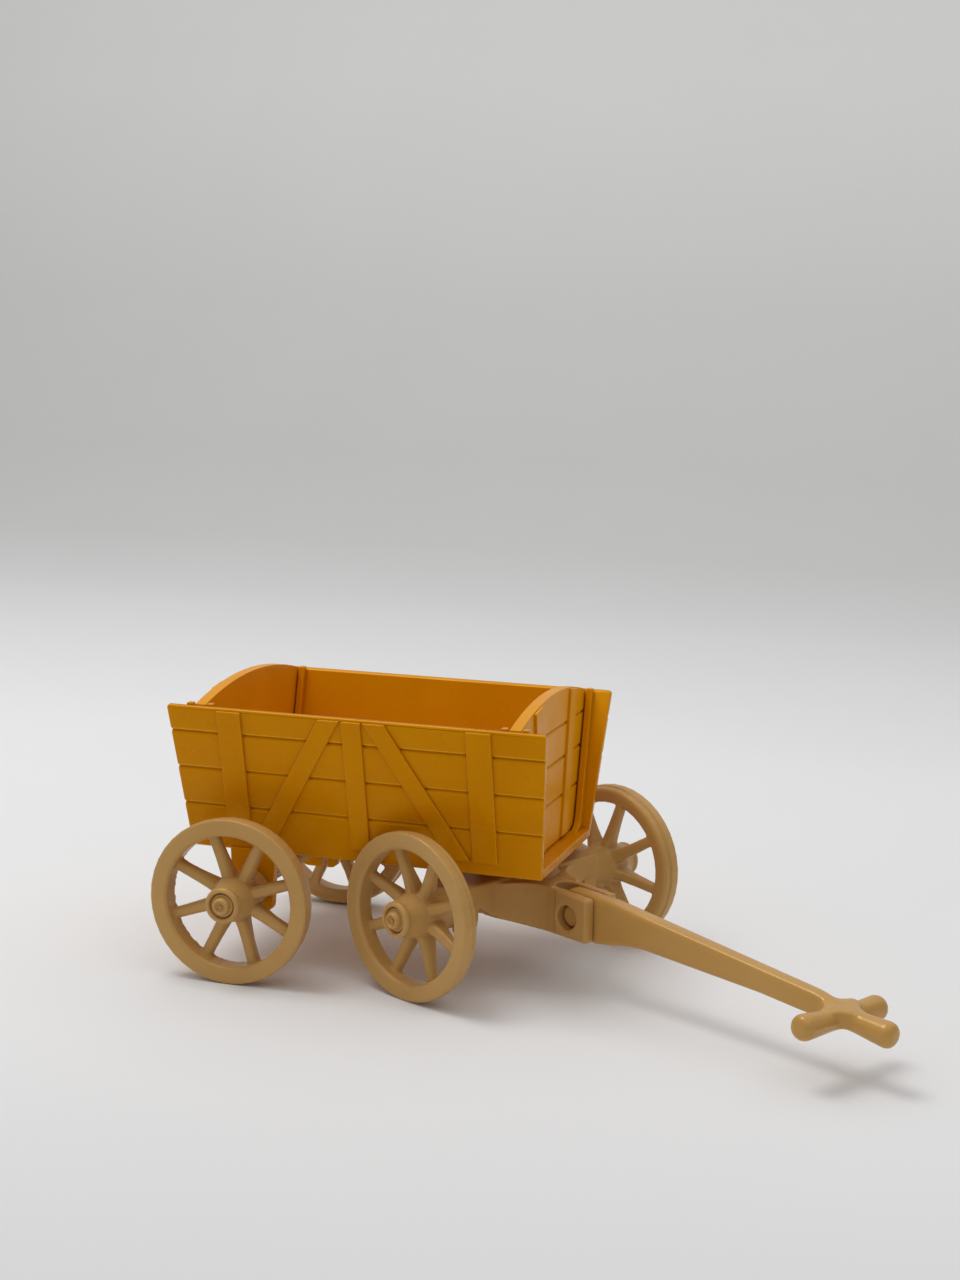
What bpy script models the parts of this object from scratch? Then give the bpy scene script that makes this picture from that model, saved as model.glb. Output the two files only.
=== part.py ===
"""Toy handcart with a planked, flared box, spoked wheels and a steered front bogie.

Sizes are in millimetres and are turned into metres where meshes and places are made.
The cart's length runs along X with the handle forwards, its width along Y and its height along Z.
Heights are counted from the ground that the wheels stand on. The finished cart is then set down
so that the middle of its load bed lies at the world's origin.
"""

import math

import bmesh
import bpy
from mathutils import Matrix, Vector

MM = 0.001
GAP = 0.3
OVERLAP = 0.5
FULL_TURN = 2.0 * math.pi

# Box shell
FLOOR_UNDERSIDE = 21.45
FLOOR_THICKNESS = 1.75
FLOOR_TOP = FLOOR_UNDERSIDE + FLOOR_THICKNESS
WALL_TOP = 48.7
HALF_LENGTH_BOTTOM = 33.25
HALF_LENGTH_TOP = 35.25
BED_HALF_SPAN = 26.0
HALF_WIDTH_BOTTOM = 16.5
HALF_WIDTH_TOP = 23.15
WALL_THICKNESS = 1.25
WALL_EDGE_ROUND = 0.4
WALL_FOOT_ROUND = 0.3
PLANK_SEAMS = (29.9, 36.9, 43.85)
SEAM_HALF_WIDTH = 0.3
SEAM_DEPTH = 0.3

# Raised battens on the side walls
BATTEN_HEIGHT = 0.55
BATTEN_BOTTOM = 23.8
BATTEN_TOP = 48.15
MIDDLE_BATTEN_WIDTH = 3.6
END_BATTEN_WIDTH = 4.6
END_BATTEN_X = 23.2
BRACE_WIDTH = 4.0
BRACE_TOP_X = 2.15
BRACE_LEAN = 0.592

# Slots that hold the end boards
BOARD_THICKNESS = 2.05
SLOT_WIDTH = BOARD_THICKNESS + 2.0 * GAP
SLOT_INSET = 7.25
SLOT_INNER_X = HALF_LENGTH_TOP - SLOT_INSET
RIB_WIDTH = 1.2
RIB_REACH = 1.3
RIB_TOP = WALL_TOP - 0.3
RIB_FOOT_RADIUS = 4.0

# End boards
BOARD_BOTTOM = FLOOR_TOP + GAP
BOARD_SIDE_GAP = 0.35
BOARD_CORNER_RADIUS = 3.5
ARCH_TOP = 51.7
ARCH_RADIUS = 81.0
BOARD_SEAMS = (31.5, 38.6, 44.8)
BOARD_BATTEN_WIDTH = 4.0
BOARD_BATTEN_Y = 10.6
BOARD_BATTEN_LEAN = 0.15
BOARD_BATTEN_HEIGHT = 0.5

# Wheels
WHEEL_RADIUS = 15.0
RIM_DEPTH = 3.15
RIM_OUTER_FACE = 28.5
RIM_WIDTH = 3.6
RIM_ROUND = 0.75
RIM_BORE_ROUND = 0.45
TREAD_STEP = 0.2
TREAD_STEP_WIDTH = 1.9
RIM_INNER_ROUND = 1.1
RIM_SEGMENTS = 40
SPOKE_COUNT = 8
SPOKE_SEGMENTS = 8
SPOKE_ROOT_HALF_WIDTH = 1.25
SPOKE_TIP_HALF_WIDTH = 1.0
SPOKE_ROOT_HALF_DEPTH = 2.3
SPOKE_TIP_HALF_DEPTH = 0.85
SPOKE_DISH = 1.5
HUB_FACE = RIM_OUTER_FACE + 2.5
HUB_FACE_RADIUS = 3.25
HUB_NECK_RADIUS = 3.05
HUB_WAIST_RADIUS = 4.1
HUB_RECESS_RADIUS = 2.1
HUB_RECESS_DEPTH = 1.1
HUB_INNER_RADIUS = 3.4
HUB_SEGMENTS = 24

# Axles and their bearings
AXLE_RADIUS = 1.2
AXLE_HEAD_RADIUS = 1.65
AXLE_HEAD_STAND = 0.75
AXLE_HEAD_ROUND = 0.5
AXLE_DIMPLE_RADIUS = 0.55
AXLE_DIMPLE_DEPTH = 0.3
BORE_RADIUS = AXLE_RADIUS + GAP
AXLE_HEIGHT = WHEEL_RADIUS
BEARING_HALF_WIDTH = 4.4
BEARING_FOOT_HALF_WIDTH = 3.95
BEARING_BOTTOM = 10.4
BEARING_ROUND = 1.6
REAR_PLATE_FACE = 17.0
REAR_PLATE_THICKNESS = 1.9
REAR_SLOT = (0.4, BORE_RADIUS)
REAR_AXLE_X = -20.9
REAR_PLATE_X = REAR_AXLE_X - 0.2
REAR_RIGHT_PHASE = -18.9
REAR_LEFT_PHASE = -18.9

# Front bogie
FRONT_AXLE_X = 24.0
STEER_ANGLE = -26.7
FRONT_RIGHT_PHASE = -22.0
FRONT_LEFT_PHASE = -32.0
FRONT_PLATE_FACE = 17.5
FRONT_PLATE_THICKNESS = 3.4
FRONT_SLOT = (-0.85, 0.85)
BEAM_TOP = 19.1
BEAM_EDGE_ROUND = 0.45
BODY_BOTTOM = 10.05
BODY_HALF_WIDTH = 4.0
ARCH_RISE_TO = 14.75
ARCH_MIDDLE_Z = 11.9
ARCH_MIDDLE_Y = 9.3
TURNTABLE_RADIUS = 7.5
NECK_HALF_WIDTH = 3.85
NECK_FILLET = 8.0
NECK_TOP = 18.6
NECK_ROUND = 0.5
CHEEK_HALF_WIDTH = 4.15
CHEEK_REAR = 13.1
CHEEK_FRONT = 20.5
CHEEK_TOP_FRONT = 17.7
CHEEK_BOTTOM_FRONT = 9.6
CHEEK_ROUND = 0.7

# King post that the bogie turns on
KING_RADIUS = 2.4
KING_HEAD_RADIUS = 3.2
KING_HEAD_BOTTOM = AXLE_HEIGHT + AXLE_RADIUS + GAP
KING_HEAD_TOP = KING_HEAD_BOTTOM + 0.8
KING_RECESS_RADIUS = KING_HEAD_RADIUS + GAP

# Drawbar
HINGE_FORWARD = 15.8
HINGE_HEIGHT = 13.6
DRAWBAR_PITCH = 4.95
DRAWBAR_YAW = -2.1
BAR_HALF_WIDTH = 1.75
BAR_END_HALF_WIDTH = 1.5
BAR_EDGE_ROUND = 0.8
FORK_HALF_WIDTH = BAR_HALF_WIDTH + GAP
FORK_REAR = 10.2
TRUNNION_RADIUS = 1.9
TRUNNION_SINK = 1.0
HINGE_LIP = 0.25
HEEL_TOP_CORNER = (-1.55, 3.1)
HEEL_FOOT_CORNER = (-1.3, -2.35)
HEEL_TOP_ROUND = 1.3
HEEL_FOOT_ROUND = 1.55
BAR_AXIS_Z = 1.5
CROSS_X = 56.9
ARM_HALF_LENGTH = 11.0
STUB_REACH = 10.5
GRIP_END_RADIUS = 2.2
GRIP_END_ROUND = 1.4
GRIP_NECK_RADIUS = 1.7
GRIP_TWIST = -3.6
GRIP_DROP = 0.45
GRIP_SEGMENTS = 16
WEB_HALF_WIDTH = 1.3
WEB_RADIUS = 3.0
WEB_TOP = 1.85
WEB_BOTTOM = -1.35
WEB_EDGE_ROUND = 0.6

# Colours as linear red, green, blue with roughness
YELLOW = ((0.79, 0.33, 0.016), 0.32)
YELLOW_BOARD = ((0.80, 0.36, 0.02), 0.3)
TAN = ((0.47, 0.265, 0.105), 0.38)
TAN_DRAWBAR = ((0.50, 0.27, 0.09), 0.34)


def make_material(name, finish):
    """A moulded plastic with one colour and one gloss."""
    colour, roughness = finish
    material = bpy.data.materials.new(name)
    material.use_nodes = True
    shader = material.node_tree.nodes["Principled BSDF"]
    shader.inputs["Base Color"].default_value = (*colour, 1.0)
    shader.inputs["Roughness"].default_value = roughness
    shader.inputs["Metallic"].default_value = 0.0
    material.diffuse_color = (*colour, 1.0)
    return material


def to_object(name, mesh_editor, material=None):
    """Writes a mesh made in millimetres into a new object, in metres."""
    bmesh.ops.remove_doubles(mesh_editor, verts=mesh_editor.verts, dist=0.001)
    bmesh.ops.recalc_face_normals(mesh_editor, faces=mesh_editor.faces)
    bmesh.ops.scale(mesh_editor, vec=(MM, MM, MM), verts=mesh_editor.verts)
    mesh = bpy.data.meshes.new(name)
    mesh_editor.to_mesh(mesh)
    mesh_editor.free()
    made = bpy.data.objects.new(name, mesh)
    bpy.context.scene.collection.objects.link(made)
    if material:
        mesh.materials.append(material)
    return made


def add_prism(mesh_editor, outline, normal_axis, start, end):
    """Adds a closed prism: an outline in the plane across normal_axis, drawn out from start to end."""
    places = {"X": lambda u, v, w: (w, u, v), "Y": lambda u, v, w: (u, w, v), "Z": lambda u, v, w: (u, v, w)}
    place = places[normal_axis]
    corners = [mesh_editor.verts.new(place(u, v, start)) for u, v in outline]
    face = mesh_editor.faces.new(corners)
    grown = bmesh.ops.extrude_face_region(mesh_editor, geom=[face])
    moved = [item for item in grown["geom"] if isinstance(item, bmesh.types.BMVert)]
    shift = Vector(place(0.0, 0.0, end)) - Vector(place(0.0, 0.0, start))
    bmesh.ops.translate(mesh_editor, vec=shift, verts=moved)
    return corners + moved


def prism(name, outline, normal_axis, start, end, material=None):
    """One prism as an object of its own."""
    mesh_editor = bmesh.new()
    add_prism(mesh_editor, outline, normal_axis, start, end)
    return to_object(name, mesh_editor, material)


def add_turned(mesh_editor, profile, axis, segments, closed):
    """Adds a solid turned about an axis from (radius, height) points, open at the axis or a closed loop."""
    along = Vector(axis)
    across = Vector((0.0, 0.0, 1.0)) if abs(along.z) < 0.5 else Vector((1.0, 0.0, 0.0))
    ring = [mesh_editor.verts.new(across * radius + along * height) for radius, height in profile]
    edges = [mesh_editor.edges.new(pair) for pair in zip(ring, ring[1:])]
    if closed:
        edges.append(mesh_editor.edges.new((ring[-1], ring[0])))
    bmesh.ops.spin(
        mesh_editor,
        geom=ring + edges,
        cent=(0.0, 0.0, 0.0),
        axis=along,
        angle=FULL_TURN,
        steps=segments,
        use_merge=True,
    )


def turned(name, profile, axis, segments, closed=False, material=None):
    """One turned solid as an object of its own."""
    mesh_editor = bmesh.new()
    add_turned(mesh_editor, profile, axis, segments, closed)
    return to_object(name, mesh_editor, material)


def combine(target, tool, operation):
    """Joins a tool to the target or cuts it out, and removes the tool."""
    bpy.context.view_layer.update()
    modifier = target.modifiers.new(operation.title(), "BOOLEAN")
    modifier.operation = operation
    modifier.solver = "EXACT"
    modifier.object = tool
    bpy.ops.object.select_all(action="DESELECT")
    bpy.context.view_layer.objects.active = target
    target.select_set(True)
    bpy.ops.object.modifier_apply(modifier=modifier.name)
    bpy.data.objects.remove(tool, do_unlink=True)


def tidy_mesh(target, merge_distance=0.01):
    """Closes the hair-thin seams that a cut can leave and points every face outwards."""
    mesh_editor = bmesh.new()
    mesh_editor.from_mesh(target.data)
    bmesh.ops.remove_doubles(mesh_editor, verts=mesh_editor.verts, dist=merge_distance * MM)
    bmesh.ops.dissolve_degenerate(mesh_editor, dist=merge_distance * MM, edges=mesh_editor.edges)
    bmesh.ops.recalc_face_normals(mesh_editor, faces=mesh_editor.faces)
    mesh_editor.to_mesh(target.data)
    mesh_editor.free()


def shade(target, sharp_degrees=40.0):
    """Smooth round faces with crisp edges between flat ones."""
    target.data.shade_smooth()
    target.data.set_sharp_from_angle(angle=math.radians(sharp_degrees))


def bevel(target, width, segments=2, sharp_degrees=50.0):
    """Rounds the edges of an object that are sharper than an angle."""
    modifier = target.modifiers.new("Rounded", "BEVEL")
    modifier.width = width * MM
    modifier.segments = segments
    modifier.limit_method = "ANGLE"
    modifier.angle_limit = math.radians(sharp_degrees)
    modifier.use_clamp_overlap = True
    bpy.ops.object.select_all(action="DESELECT")
    bpy.context.view_layer.objects.active = target
    target.select_set(True)
    bpy.ops.object.modifier_apply(modifier=modifier.name)


def arc(centre, radius, start_degrees, end_degrees, steps):
    """Points along an arc, both ends included."""
    points = []
    for step in range(steps + 1):
        angle = math.radians(start_degrees + (end_degrees - start_degrees) * step / steps)
        points.append((centre[0] + radius * math.cos(angle), centre[1] + radius * math.sin(angle)))
    return points


def mirrored(half_outline):
    """A whole outline from its right half, the left half following it backwards."""
    return half_outline + [(-u, v) for u, v in reversed(half_outline)]


def wall_outside(height):
    """Half width of the box over its walls at a height."""
    share = (height - FLOOR_UNDERSIDE) / (WALL_TOP - FLOOR_UNDERSIDE)
    return HALF_WIDTH_BOTTOM + share * (HALF_WIDTH_TOP - HALF_WIDTH_BOTTOM)


def wall_inside(height):
    """Half width between the walls at a height."""
    return wall_outside(height) - WALL_THICKNESS


def half_length(height):
    """Half length of the box at a height: its ends lean outwards."""
    share = (height - FLOOR_UNDERSIDE) / (WALL_TOP - FLOOR_UNDERSIDE)
    return HALF_LENGTH_BOTTOM + share * (HALF_LENGTH_TOP - HALF_LENGTH_BOTTOM)


def shell_outline():
    """Cross section of floor and walls, with a plank seam as a notch in the wall's outside."""
    foot = FLOOR_UNDERSIDE + WALL_FOOT_ROUND
    right = [(wall_outside(FLOOR_UNDERSIDE) - WALL_FOOT_ROUND, FLOOR_UNDERSIDE), (wall_outside(foot), foot)]
    for seam in PLANK_SEAMS:
        below, above = seam - SEAM_HALF_WIDTH, seam + SEAM_HALF_WIDTH
        right.append((wall_outside(below), below))
        right.append((wall_outside(seam) - SEAM_DEPTH, seam))
        right.append((wall_outside(above), above))
    shoulder = WALL_TOP - WALL_EDGE_ROUND
    right.append((wall_outside(shoulder), shoulder))
    right.append((wall_outside(WALL_TOP) - WALL_EDGE_ROUND, WALL_TOP))
    right.append((wall_inside(WALL_TOP) + WALL_EDGE_ROUND, WALL_TOP))
    right.append((wall_inside(shoulder), shoulder))
    right.append((wall_inside(FLOOR_TOP), FLOOR_TOP))
    return mirrored(right)


def build_shell(material):
    """Floor and both side walls drawn out along the cart, with ends that lean outwards."""
    mesh_editor = bmesh.new()
    vertices = add_prism(mesh_editor, shell_outline(), "X", -1.0, 1.0)
    for vertex in vertices:
        vertex.co.x *= half_length(vertex.co.z)
    for end in (-1.0, 1.0):
        whole = list(mesh_editor.verts) + list(mesh_editor.edges) + list(mesh_editor.faces)
        bed_end = (end * BED_HALF_SPAN, 0.0, 0.0)
        bmesh.ops.bisect_plane(mesh_editor, geom=whole, plane_co=bed_end, plane_no=(1.0, 0.0, 0.0))
    return to_object("cart_box", mesh_editor, material)


def batten_outlines():
    """Outlines in length and height of one wall's upright battens and its two slanting braces."""
    middle = MIDDLE_BATTEN_WIDTH / 2.0
    uprights = [(-middle, middle)]
    for side in (-1.0, 1.0):
        centre = side * END_BATTEN_X
        uprights.append((centre - END_BATTEN_WIDTH / 2.0, centre + END_BATTEN_WIDTH / 2.0))
    outlines = []
    for low, high in uprights:
        outlines.append([(low, BATTEN_BOTTOM), (high, BATTEN_BOTTOM), (high, BATTEN_TOP), (low, BATTEN_TOP)])
    drift = BRACE_LEAN * (BATTEN_TOP - BATTEN_BOTTOM)
    for side in (-1.0, 1.0):
        top = (side * BRACE_TOP_X, side * (BRACE_TOP_X + BRACE_WIDTH))
        outlines.append([
            (top[0] + side * drift, BATTEN_BOTTOM),
            (top[1] + side * drift, BATTEN_BOTTOM),
            (top[1], BATTEN_TOP),
            (top[0], BATTEN_TOP),
        ])
    return outlines


def build_battens():
    """The raised battens of both walls, sunk a little into the planks so that they join."""
    sink = SEAM_DEPTH + 0.25
    mesh_editor = bmesh.new()
    for side in (-1.0, 1.0):
        for outline in batten_outlines():
            vertices = add_prism(mesh_editor, outline, "Y", -sink, BATTEN_HEIGHT)
            for vertex in vertices:
                vertex.co.y = side * (wall_outside(vertex.co.z) + vertex.co.y)
    return to_object("battens", mesh_editor)


def rib_outline(side):
    """One rib across a wall's inside, curving out onto the floor at its foot."""
    sunk_floor = FLOOR_TOP - 0.6
    sunk_wall = 0.6
    foot_inner = wall_inside(FLOOR_TOP) - RIB_REACH - RIB_FOOT_RADIUS
    curve_top = FLOOR_TOP + RIB_FOOT_RADIUS
    lift = (wall_inside(curve_top) - RIB_REACH) - (foot_inner + RIB_FOOT_RADIUS)
    foot = arc((foot_inner + lift, curve_top), RIB_FOOT_RADIUS, -90.0, 0.0, 4)
    outline = [(foot[0][0], sunk_floor)] + foot
    outline.append((wall_inside(RIB_TOP) - RIB_REACH, RIB_TOP))
    outline.append((wall_inside(RIB_TOP) + sunk_wall, RIB_TOP))
    outline.append((wall_inside(sunk_floor) + sunk_wall, sunk_floor))
    return [(side * y, z) for y, z in outline]


def build_ribs():
    """The eight ribs that form a slot for an end board in every corner of the box."""
    mesh_editor = bmesh.new()
    outer_x = SLOT_INNER_X + SLOT_WIDTH
    for end in (-1.0, 1.0):
        for start in (SLOT_INNER_X - RIB_WIDTH, outer_x):
            for side in (-1.0, 1.0):
                add_prism(mesh_editor, rib_outline(side), "X", end * start, end * (start + RIB_WIDTH))
    return to_object("ribs", mesh_editor)


def bearing_outline(top):
    """A bearing plate seen along its axle: nearly straight sides and a foot with rounded corners."""
    low = BEARING_BOTTOM + BEARING_ROUND
    inner = BEARING_FOOT_HALF_WIDTH - BEARING_ROUND
    right_foot = arc((inner, low), BEARING_ROUND, -90.0, 0.0, 4)
    return mirrored(right_foot + [(BEARING_HALF_WIDTH, top)])


def add_bearings(mesh_editor, top, forward, outer_face, thickness):
    """Two bearing plates, one each side, that hold an axle."""
    outline = [(u + forward, v) for u, v in bearing_outline(top)]
    for side in (-1.0, 1.0):
        add_prism(mesh_editor, outline, "Y", side * (outer_face - thickness), side * outer_face)


def king_post_profile():
    """Post from inside the floor down to a snap head wider than the post."""
    return [
        (0.0, FLOOR_TOP - OVERLAP),
        (KING_RADIUS, FLOOR_TOP - OVERLAP),
        (KING_RADIUS, KING_HEAD_TOP),
        (KING_HEAD_RADIUS, KING_HEAD_TOP),
        (KING_RADIUS, KING_HEAD_BOTTOM),
        (0.0, KING_HEAD_BOTTOM),
    ]


def build_under_floor():
    """Rear bearing plates and the king post, both moulded under the floor."""
    mesh_editor = bmesh.new()
    add_bearings(mesh_editor, FLOOR_UNDERSIDE + OVERLAP, REAR_PLATE_X, REAR_PLATE_FACE, REAR_PLATE_THICKNESS)
    plates = to_object("under_floor", mesh_editor)
    post = turned("king_post", king_post_profile(), (0.0, 0.0, 1.0), HUB_SEGMENTS)
    post.data.transform(Matrix.Translation((FRONT_AXLE_X * MM, 0.0, 0.0)))
    combine(plates, post, "UNION")
    return plates


def snap_slot_outline(forward, slot):
    """A round bore with a narrow way in from below, seen along the axle; slot gives the way's two sides."""
    rear_side, front_side = slot
    front_mouth = -math.degrees(math.acos(front_side / BORE_RADIUS))
    rear_mouth = 360.0 - math.degrees(math.acos(rear_side / BORE_RADIUS))
    ring = arc((forward, AXLE_HEIGHT), BORE_RADIUS, front_mouth, rear_mouth, 20)
    below = BEARING_BOTTOM - 1.0
    return [(forward + front_side, below)] + ring + [(forward + rear_side, below)]


def build_cart_box(material):
    """Box with planked walls, battens, board slots, rear bearings and king post, in one moulding."""
    box = build_shell(material)
    combine(box, build_battens(), "UNION")
    combine(box, build_ribs(), "UNION")
    combine(box, build_under_floor(), "UNION")
    reach = REAR_PLATE_FACE + 1.0
    slots = prism("snap_slots", snap_slot_outline(REAR_AXLE_X, REAR_SLOT), "Y", -reach, reach)
    combine(box, slots, "DIFFERENCE")
    tidy_mesh(box)
    shade(box)
    return box


def arch_height(across):
    """Height of an end board's arched top at a distance from its middle."""
    return ARCH_TOP - ARCH_RADIUS + math.sqrt(ARCH_RADIUS ** 2 - across ** 2)


def board_edge(height):
    """Half width of an end board at a height, just clear of the walls."""
    return wall_inside(height) - BOARD_SIDE_GAP


def board_outline():
    """An end board from behind: rounded bottom corners, sides with the walls' flare, arched top."""
    corner_z = BOARD_BOTTOM + BOARD_CORNER_RADIUS
    corner_y = board_edge(corner_z) - BOARD_CORNER_RADIUS
    right = arc((corner_y, corner_z), BOARD_CORNER_RADIUS, -90.0, 0.0, 5)
    edge = board_edge(WALL_TOP)
    steps = 6
    for step in range(steps):
        across = edge * (1.0 - step / steps)
        right.append((across, arch_height(across)))
    left = [(-u, v) for u, v in reversed(right)]
    return right + [(0.0, arch_height(0.0))] + left


def board_batten_outline(side):
    """A leaning batten on an end board, its top just under the arch."""
    half = BOARD_BATTEN_WIDTH / 2.0
    low = BOARD_BOTTOM + 0.4
    middle_low = BOARD_BATTEN_Y - BOARD_BATTEN_LEAN * (BOARD_SEAMS[-1] - low)
    middle_high = BOARD_BATTEN_Y + BOARD_BATTEN_LEAN * (ARCH_TOP - BOARD_SEAMS[-1])
    tops = [(y, arch_height(y) - 0.25) for y in (middle_high + half, middle_high - half)]
    outline = [(middle_low - half, low), (middle_low + half, low)] + tops
    return [(side * y, z) for y, z in outline]


def build_board(name, end, material):
    """One end board with plank seams and two battens on its outer face."""
    inner_face = SLOT_INNER_X + GAP
    outer_face = inner_face + BOARD_THICKNESS
    board = prism(name, board_outline(), "X", end * inner_face, end * outer_face, material)
    mesh_editor = bmesh.new()
    reach = HALF_WIDTH_TOP
    for seam in BOARD_SEAMS:
        notch = [
            (end * (outer_face - SEAM_DEPTH), seam),
            (end * (outer_face + SEAM_DEPTH), seam + 2.0 * SEAM_HALF_WIDTH),
            (end * (outer_face + SEAM_DEPTH), seam - 2.0 * SEAM_HALF_WIDTH),
        ]
        add_prism(mesh_editor, notch, "Y", -reach, reach)
    combine(board, to_object("board_seams", mesh_editor), "DIFFERENCE")
    mesh_editor = bmesh.new()
    sink = SEAM_DEPTH + 0.2
    for side in (-1.0, 1.0):
        add_prism(
            mesh_editor,
            board_batten_outline(side),
            "X",
            end * (outer_face - sink),
            end * (outer_face + BOARD_BATTEN_HEIGHT),
        )
    combine(board, to_object("board_battens", mesh_editor), "UNION")
    tidy_mesh(board)
    shade(board)
    return board


def rim_profile():
    """Section of the wheel's rim: rounded outside, a small step in the tread, well rounded inside."""
    inner_face = RIM_OUTER_FACE - RIM_WIDTH
    inner_radius = WHEEL_RADIUS - RIM_DEPTH
    tread_inside = WHEEL_RADIUS - TREAD_STEP
    step = RIM_OUTER_FACE - TREAD_STEP_WIDTH
    bore_round = RIM_BORE_ROUND
    section = arc((WHEEL_RADIUS - RIM_ROUND, RIM_OUTER_FACE - RIM_ROUND), RIM_ROUND, 90.0, 0.0, 3)
    section += [(WHEEL_RADIUS, step), (tread_inside, step - TREAD_STEP)]
    section += arc((tread_inside - RIM_INNER_ROUND, inner_face + RIM_INNER_ROUND), RIM_INNER_ROUND, 0.0, -90.0, 3)
    section += arc((inner_radius + bore_round, inner_face + bore_round), bore_round, -90.0, -180.0, 1)
    section += arc((inner_radius + bore_round, RIM_OUTER_FACE - bore_round), bore_round, 180.0, 90.0, 1)
    return section


def spoke_tip_plane():
    """Place along the axle of the spokes' middle at the rim, their inner side level with the rim's."""
    return RIM_OUTER_FACE - RIM_WIDTH + SPOKE_TIP_HALF_DEPTH


def spoke_root_plane():
    """Place along the axle of the spokes' middle at the hub: the wheel is slightly dished."""
    return spoke_tip_plane() - SPOKE_DISH


def hub_profile():
    """Section of the hub: bore, recess for the axle's head, neck, waist at the spokes, long inner barrel."""
    inner_end = FRONT_PLATE_FACE + GAP
    recess_floor = HUB_FACE - HUB_RECESS_DEPTH
    waist_inner = spoke_root_plane() - SPOKE_ROOT_HALF_DEPTH
    waist_outer = spoke_root_plane() + SPOKE_ROOT_HALF_DEPTH
    return [
        (BORE_RADIUS, inner_end),
        (HUB_INNER_RADIUS, inner_end),
        (HUB_WAIST_RADIUS, waist_inner),
        (HUB_WAIST_RADIUS, waist_outer),
        (HUB_FACE_RADIUS + 0.15, waist_outer + 1.9),
        (HUB_NECK_RADIUS, HUB_FACE - 1.35),
        (HUB_FACE_RADIUS, HUB_FACE - 1.0),
        (HUB_FACE_RADIUS, HUB_FACE - 0.4),
        (HUB_FACE_RADIUS - 0.4, HUB_FACE),
        (HUB_RECESS_RADIUS, HUB_FACE),
        (HUB_RECESS_RADIUS, recess_floor),
        (BORE_RADIUS, recess_floor),
    ]


def spoke_stations():
    """Distance from the axle, half width, half depth and middle of a spoke's section, from hub to rim."""
    root = HUB_WAIST_RADIUS - 0.7
    tip = WHEEL_RADIUS - RIM_DEPTH + 0.7
    stations = []
    for share, depth_share in ((0.0, 0.0), (0.22, 0.5), (0.5, 0.8), (1.0, 1.0)):
        width = SPOKE_ROOT_HALF_WIDTH + share * (SPOKE_TIP_HALF_WIDTH - SPOKE_ROOT_HALF_WIDTH)
        depth = SPOKE_ROOT_HALF_DEPTH + depth_share * (SPOKE_TIP_HALF_DEPTH - SPOKE_ROOT_HALF_DEPTH)
        middle = spoke_root_plane() + share * (spoke_tip_plane() - spoke_root_plane())
        stations.append((root + share * (tip - root), width, depth, middle))
    return stations


def add_spoke(mesh_editor, turn):
    """Adds one spoke as a skin over rounded-square sections, flared towards the hub."""
    rings = []
    for distance, half_width, half_depth, middle in spoke_stations():
        ring = []
        for index in range(SPOKE_SEGMENTS):
            angle = FULL_TURN * (index + 0.5) / SPOKE_SEGMENTS
            across = math.copysign(abs(math.cos(angle)) ** 0.7, math.cos(angle)) * half_width
            along = math.copysign(abs(math.sin(angle)) ** 0.7, math.sin(angle)) * half_depth
            ring.append(mesh_editor.verts.new(turn @ Vector((across, middle + along, distance))))
        rings.append(ring)
    for low, high in zip(rings, rings[1:]):
        for index in range(SPOKE_SEGMENTS):
            following = (index + 1) % SPOKE_SEGMENTS
            mesh_editor.faces.new((low[index], low[following], high[following], high[index]))
    mesh_editor.faces.new(list(reversed(rings[0])))
    mesh_editor.faces.new(rings[-1])


def build_wheel_mesh(material):
    """One spoked wheel about the Y axis, its outside towards +Y, joined into a single solid."""
    hub = turned("wheel", hub_profile(), (0.0, 1.0, 0.0), HUB_SEGMENTS, True, material)
    rim = turned("rim", rim_profile(), (0.0, 1.0, 0.0), RIM_SEGMENTS, True)
    mesh_editor = bmesh.new()
    for index in range(SPOKE_COUNT):
        add_spoke(mesh_editor, Matrix.Rotation(FULL_TURN * index / SPOKE_COUNT, 4, "Y"))
    spokes = to_object("spokes", mesh_editor)
    combine(rim, spokes, "UNION")
    combine(hub, rim, "UNION")
    tidy_mesh(hub)
    shade(hub)
    mesh = hub.data
    bpy.data.objects.remove(hub, do_unlink=True)
    return mesh


def place_wheel(name, mesh, parent, axle_place, side, phase):
    """A wheel on its axle, its origin on the axle's line, its outside away from the cart."""
    wheel = bpy.data.objects.new(name, mesh)
    bpy.context.scene.collection.objects.link(wheel)
    wheel.parent = parent
    facing = 0.0 if side > 0.0 else math.pi
    turn = Matrix.Rotation(math.radians(phase), 4, "Y") @ Matrix.Rotation(facing, 4, "Z")
    wheel.matrix_local = Matrix.Translation(Vector(axle_place) * MM) @ turn
    return wheel


def axle_profile():
    """Axle with a rounded head at each end that stands out of the hub, dimpled in the middle."""
    head_outer = HUB_FACE + AXLE_HEAD_STAND
    head_inner = HUB_FACE - HUB_RECESS_DEPTH + GAP
    edge = AXLE_HEAD_ROUND
    right = [(AXLE_RADIUS, head_inner), (AXLE_HEAD_RADIUS, head_inner)]
    right += arc((AXLE_HEAD_RADIUS - edge, head_outer - edge), edge, 0.0, 90.0, 2)
    right += [(AXLE_DIMPLE_RADIUS, head_outer), (0.0, head_outer - AXLE_DIMPLE_DEPTH)]
    return [(radius, -height) for radius, height in reversed(right)] + right


def build_axle(name, parent, axle_place, material):
    """One axle across the cart."""
    axle = turned(name, axle_profile(), (0.0, 1.0, 0.0), HUB_SEGMENTS, False, material)
    shade(axle)
    axle.parent = parent
    axle.location = Vector(axle_place) * MM
    return axle


def beam_foot():
    """Distance from the middle and height of the beam's arched underside, out to its bearing plates."""
    return [
        (BODY_HALF_WIDTH, BODY_BOTTOM),
        (ARCH_MIDDLE_Y, ARCH_MIDDLE_Z),
        (FRONT_PLATE_FACE - FRONT_PLATE_THICKNESS, ARCH_RISE_TO),
        (FRONT_PLATE_FACE, ARCH_RISE_TO),
    ]


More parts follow.
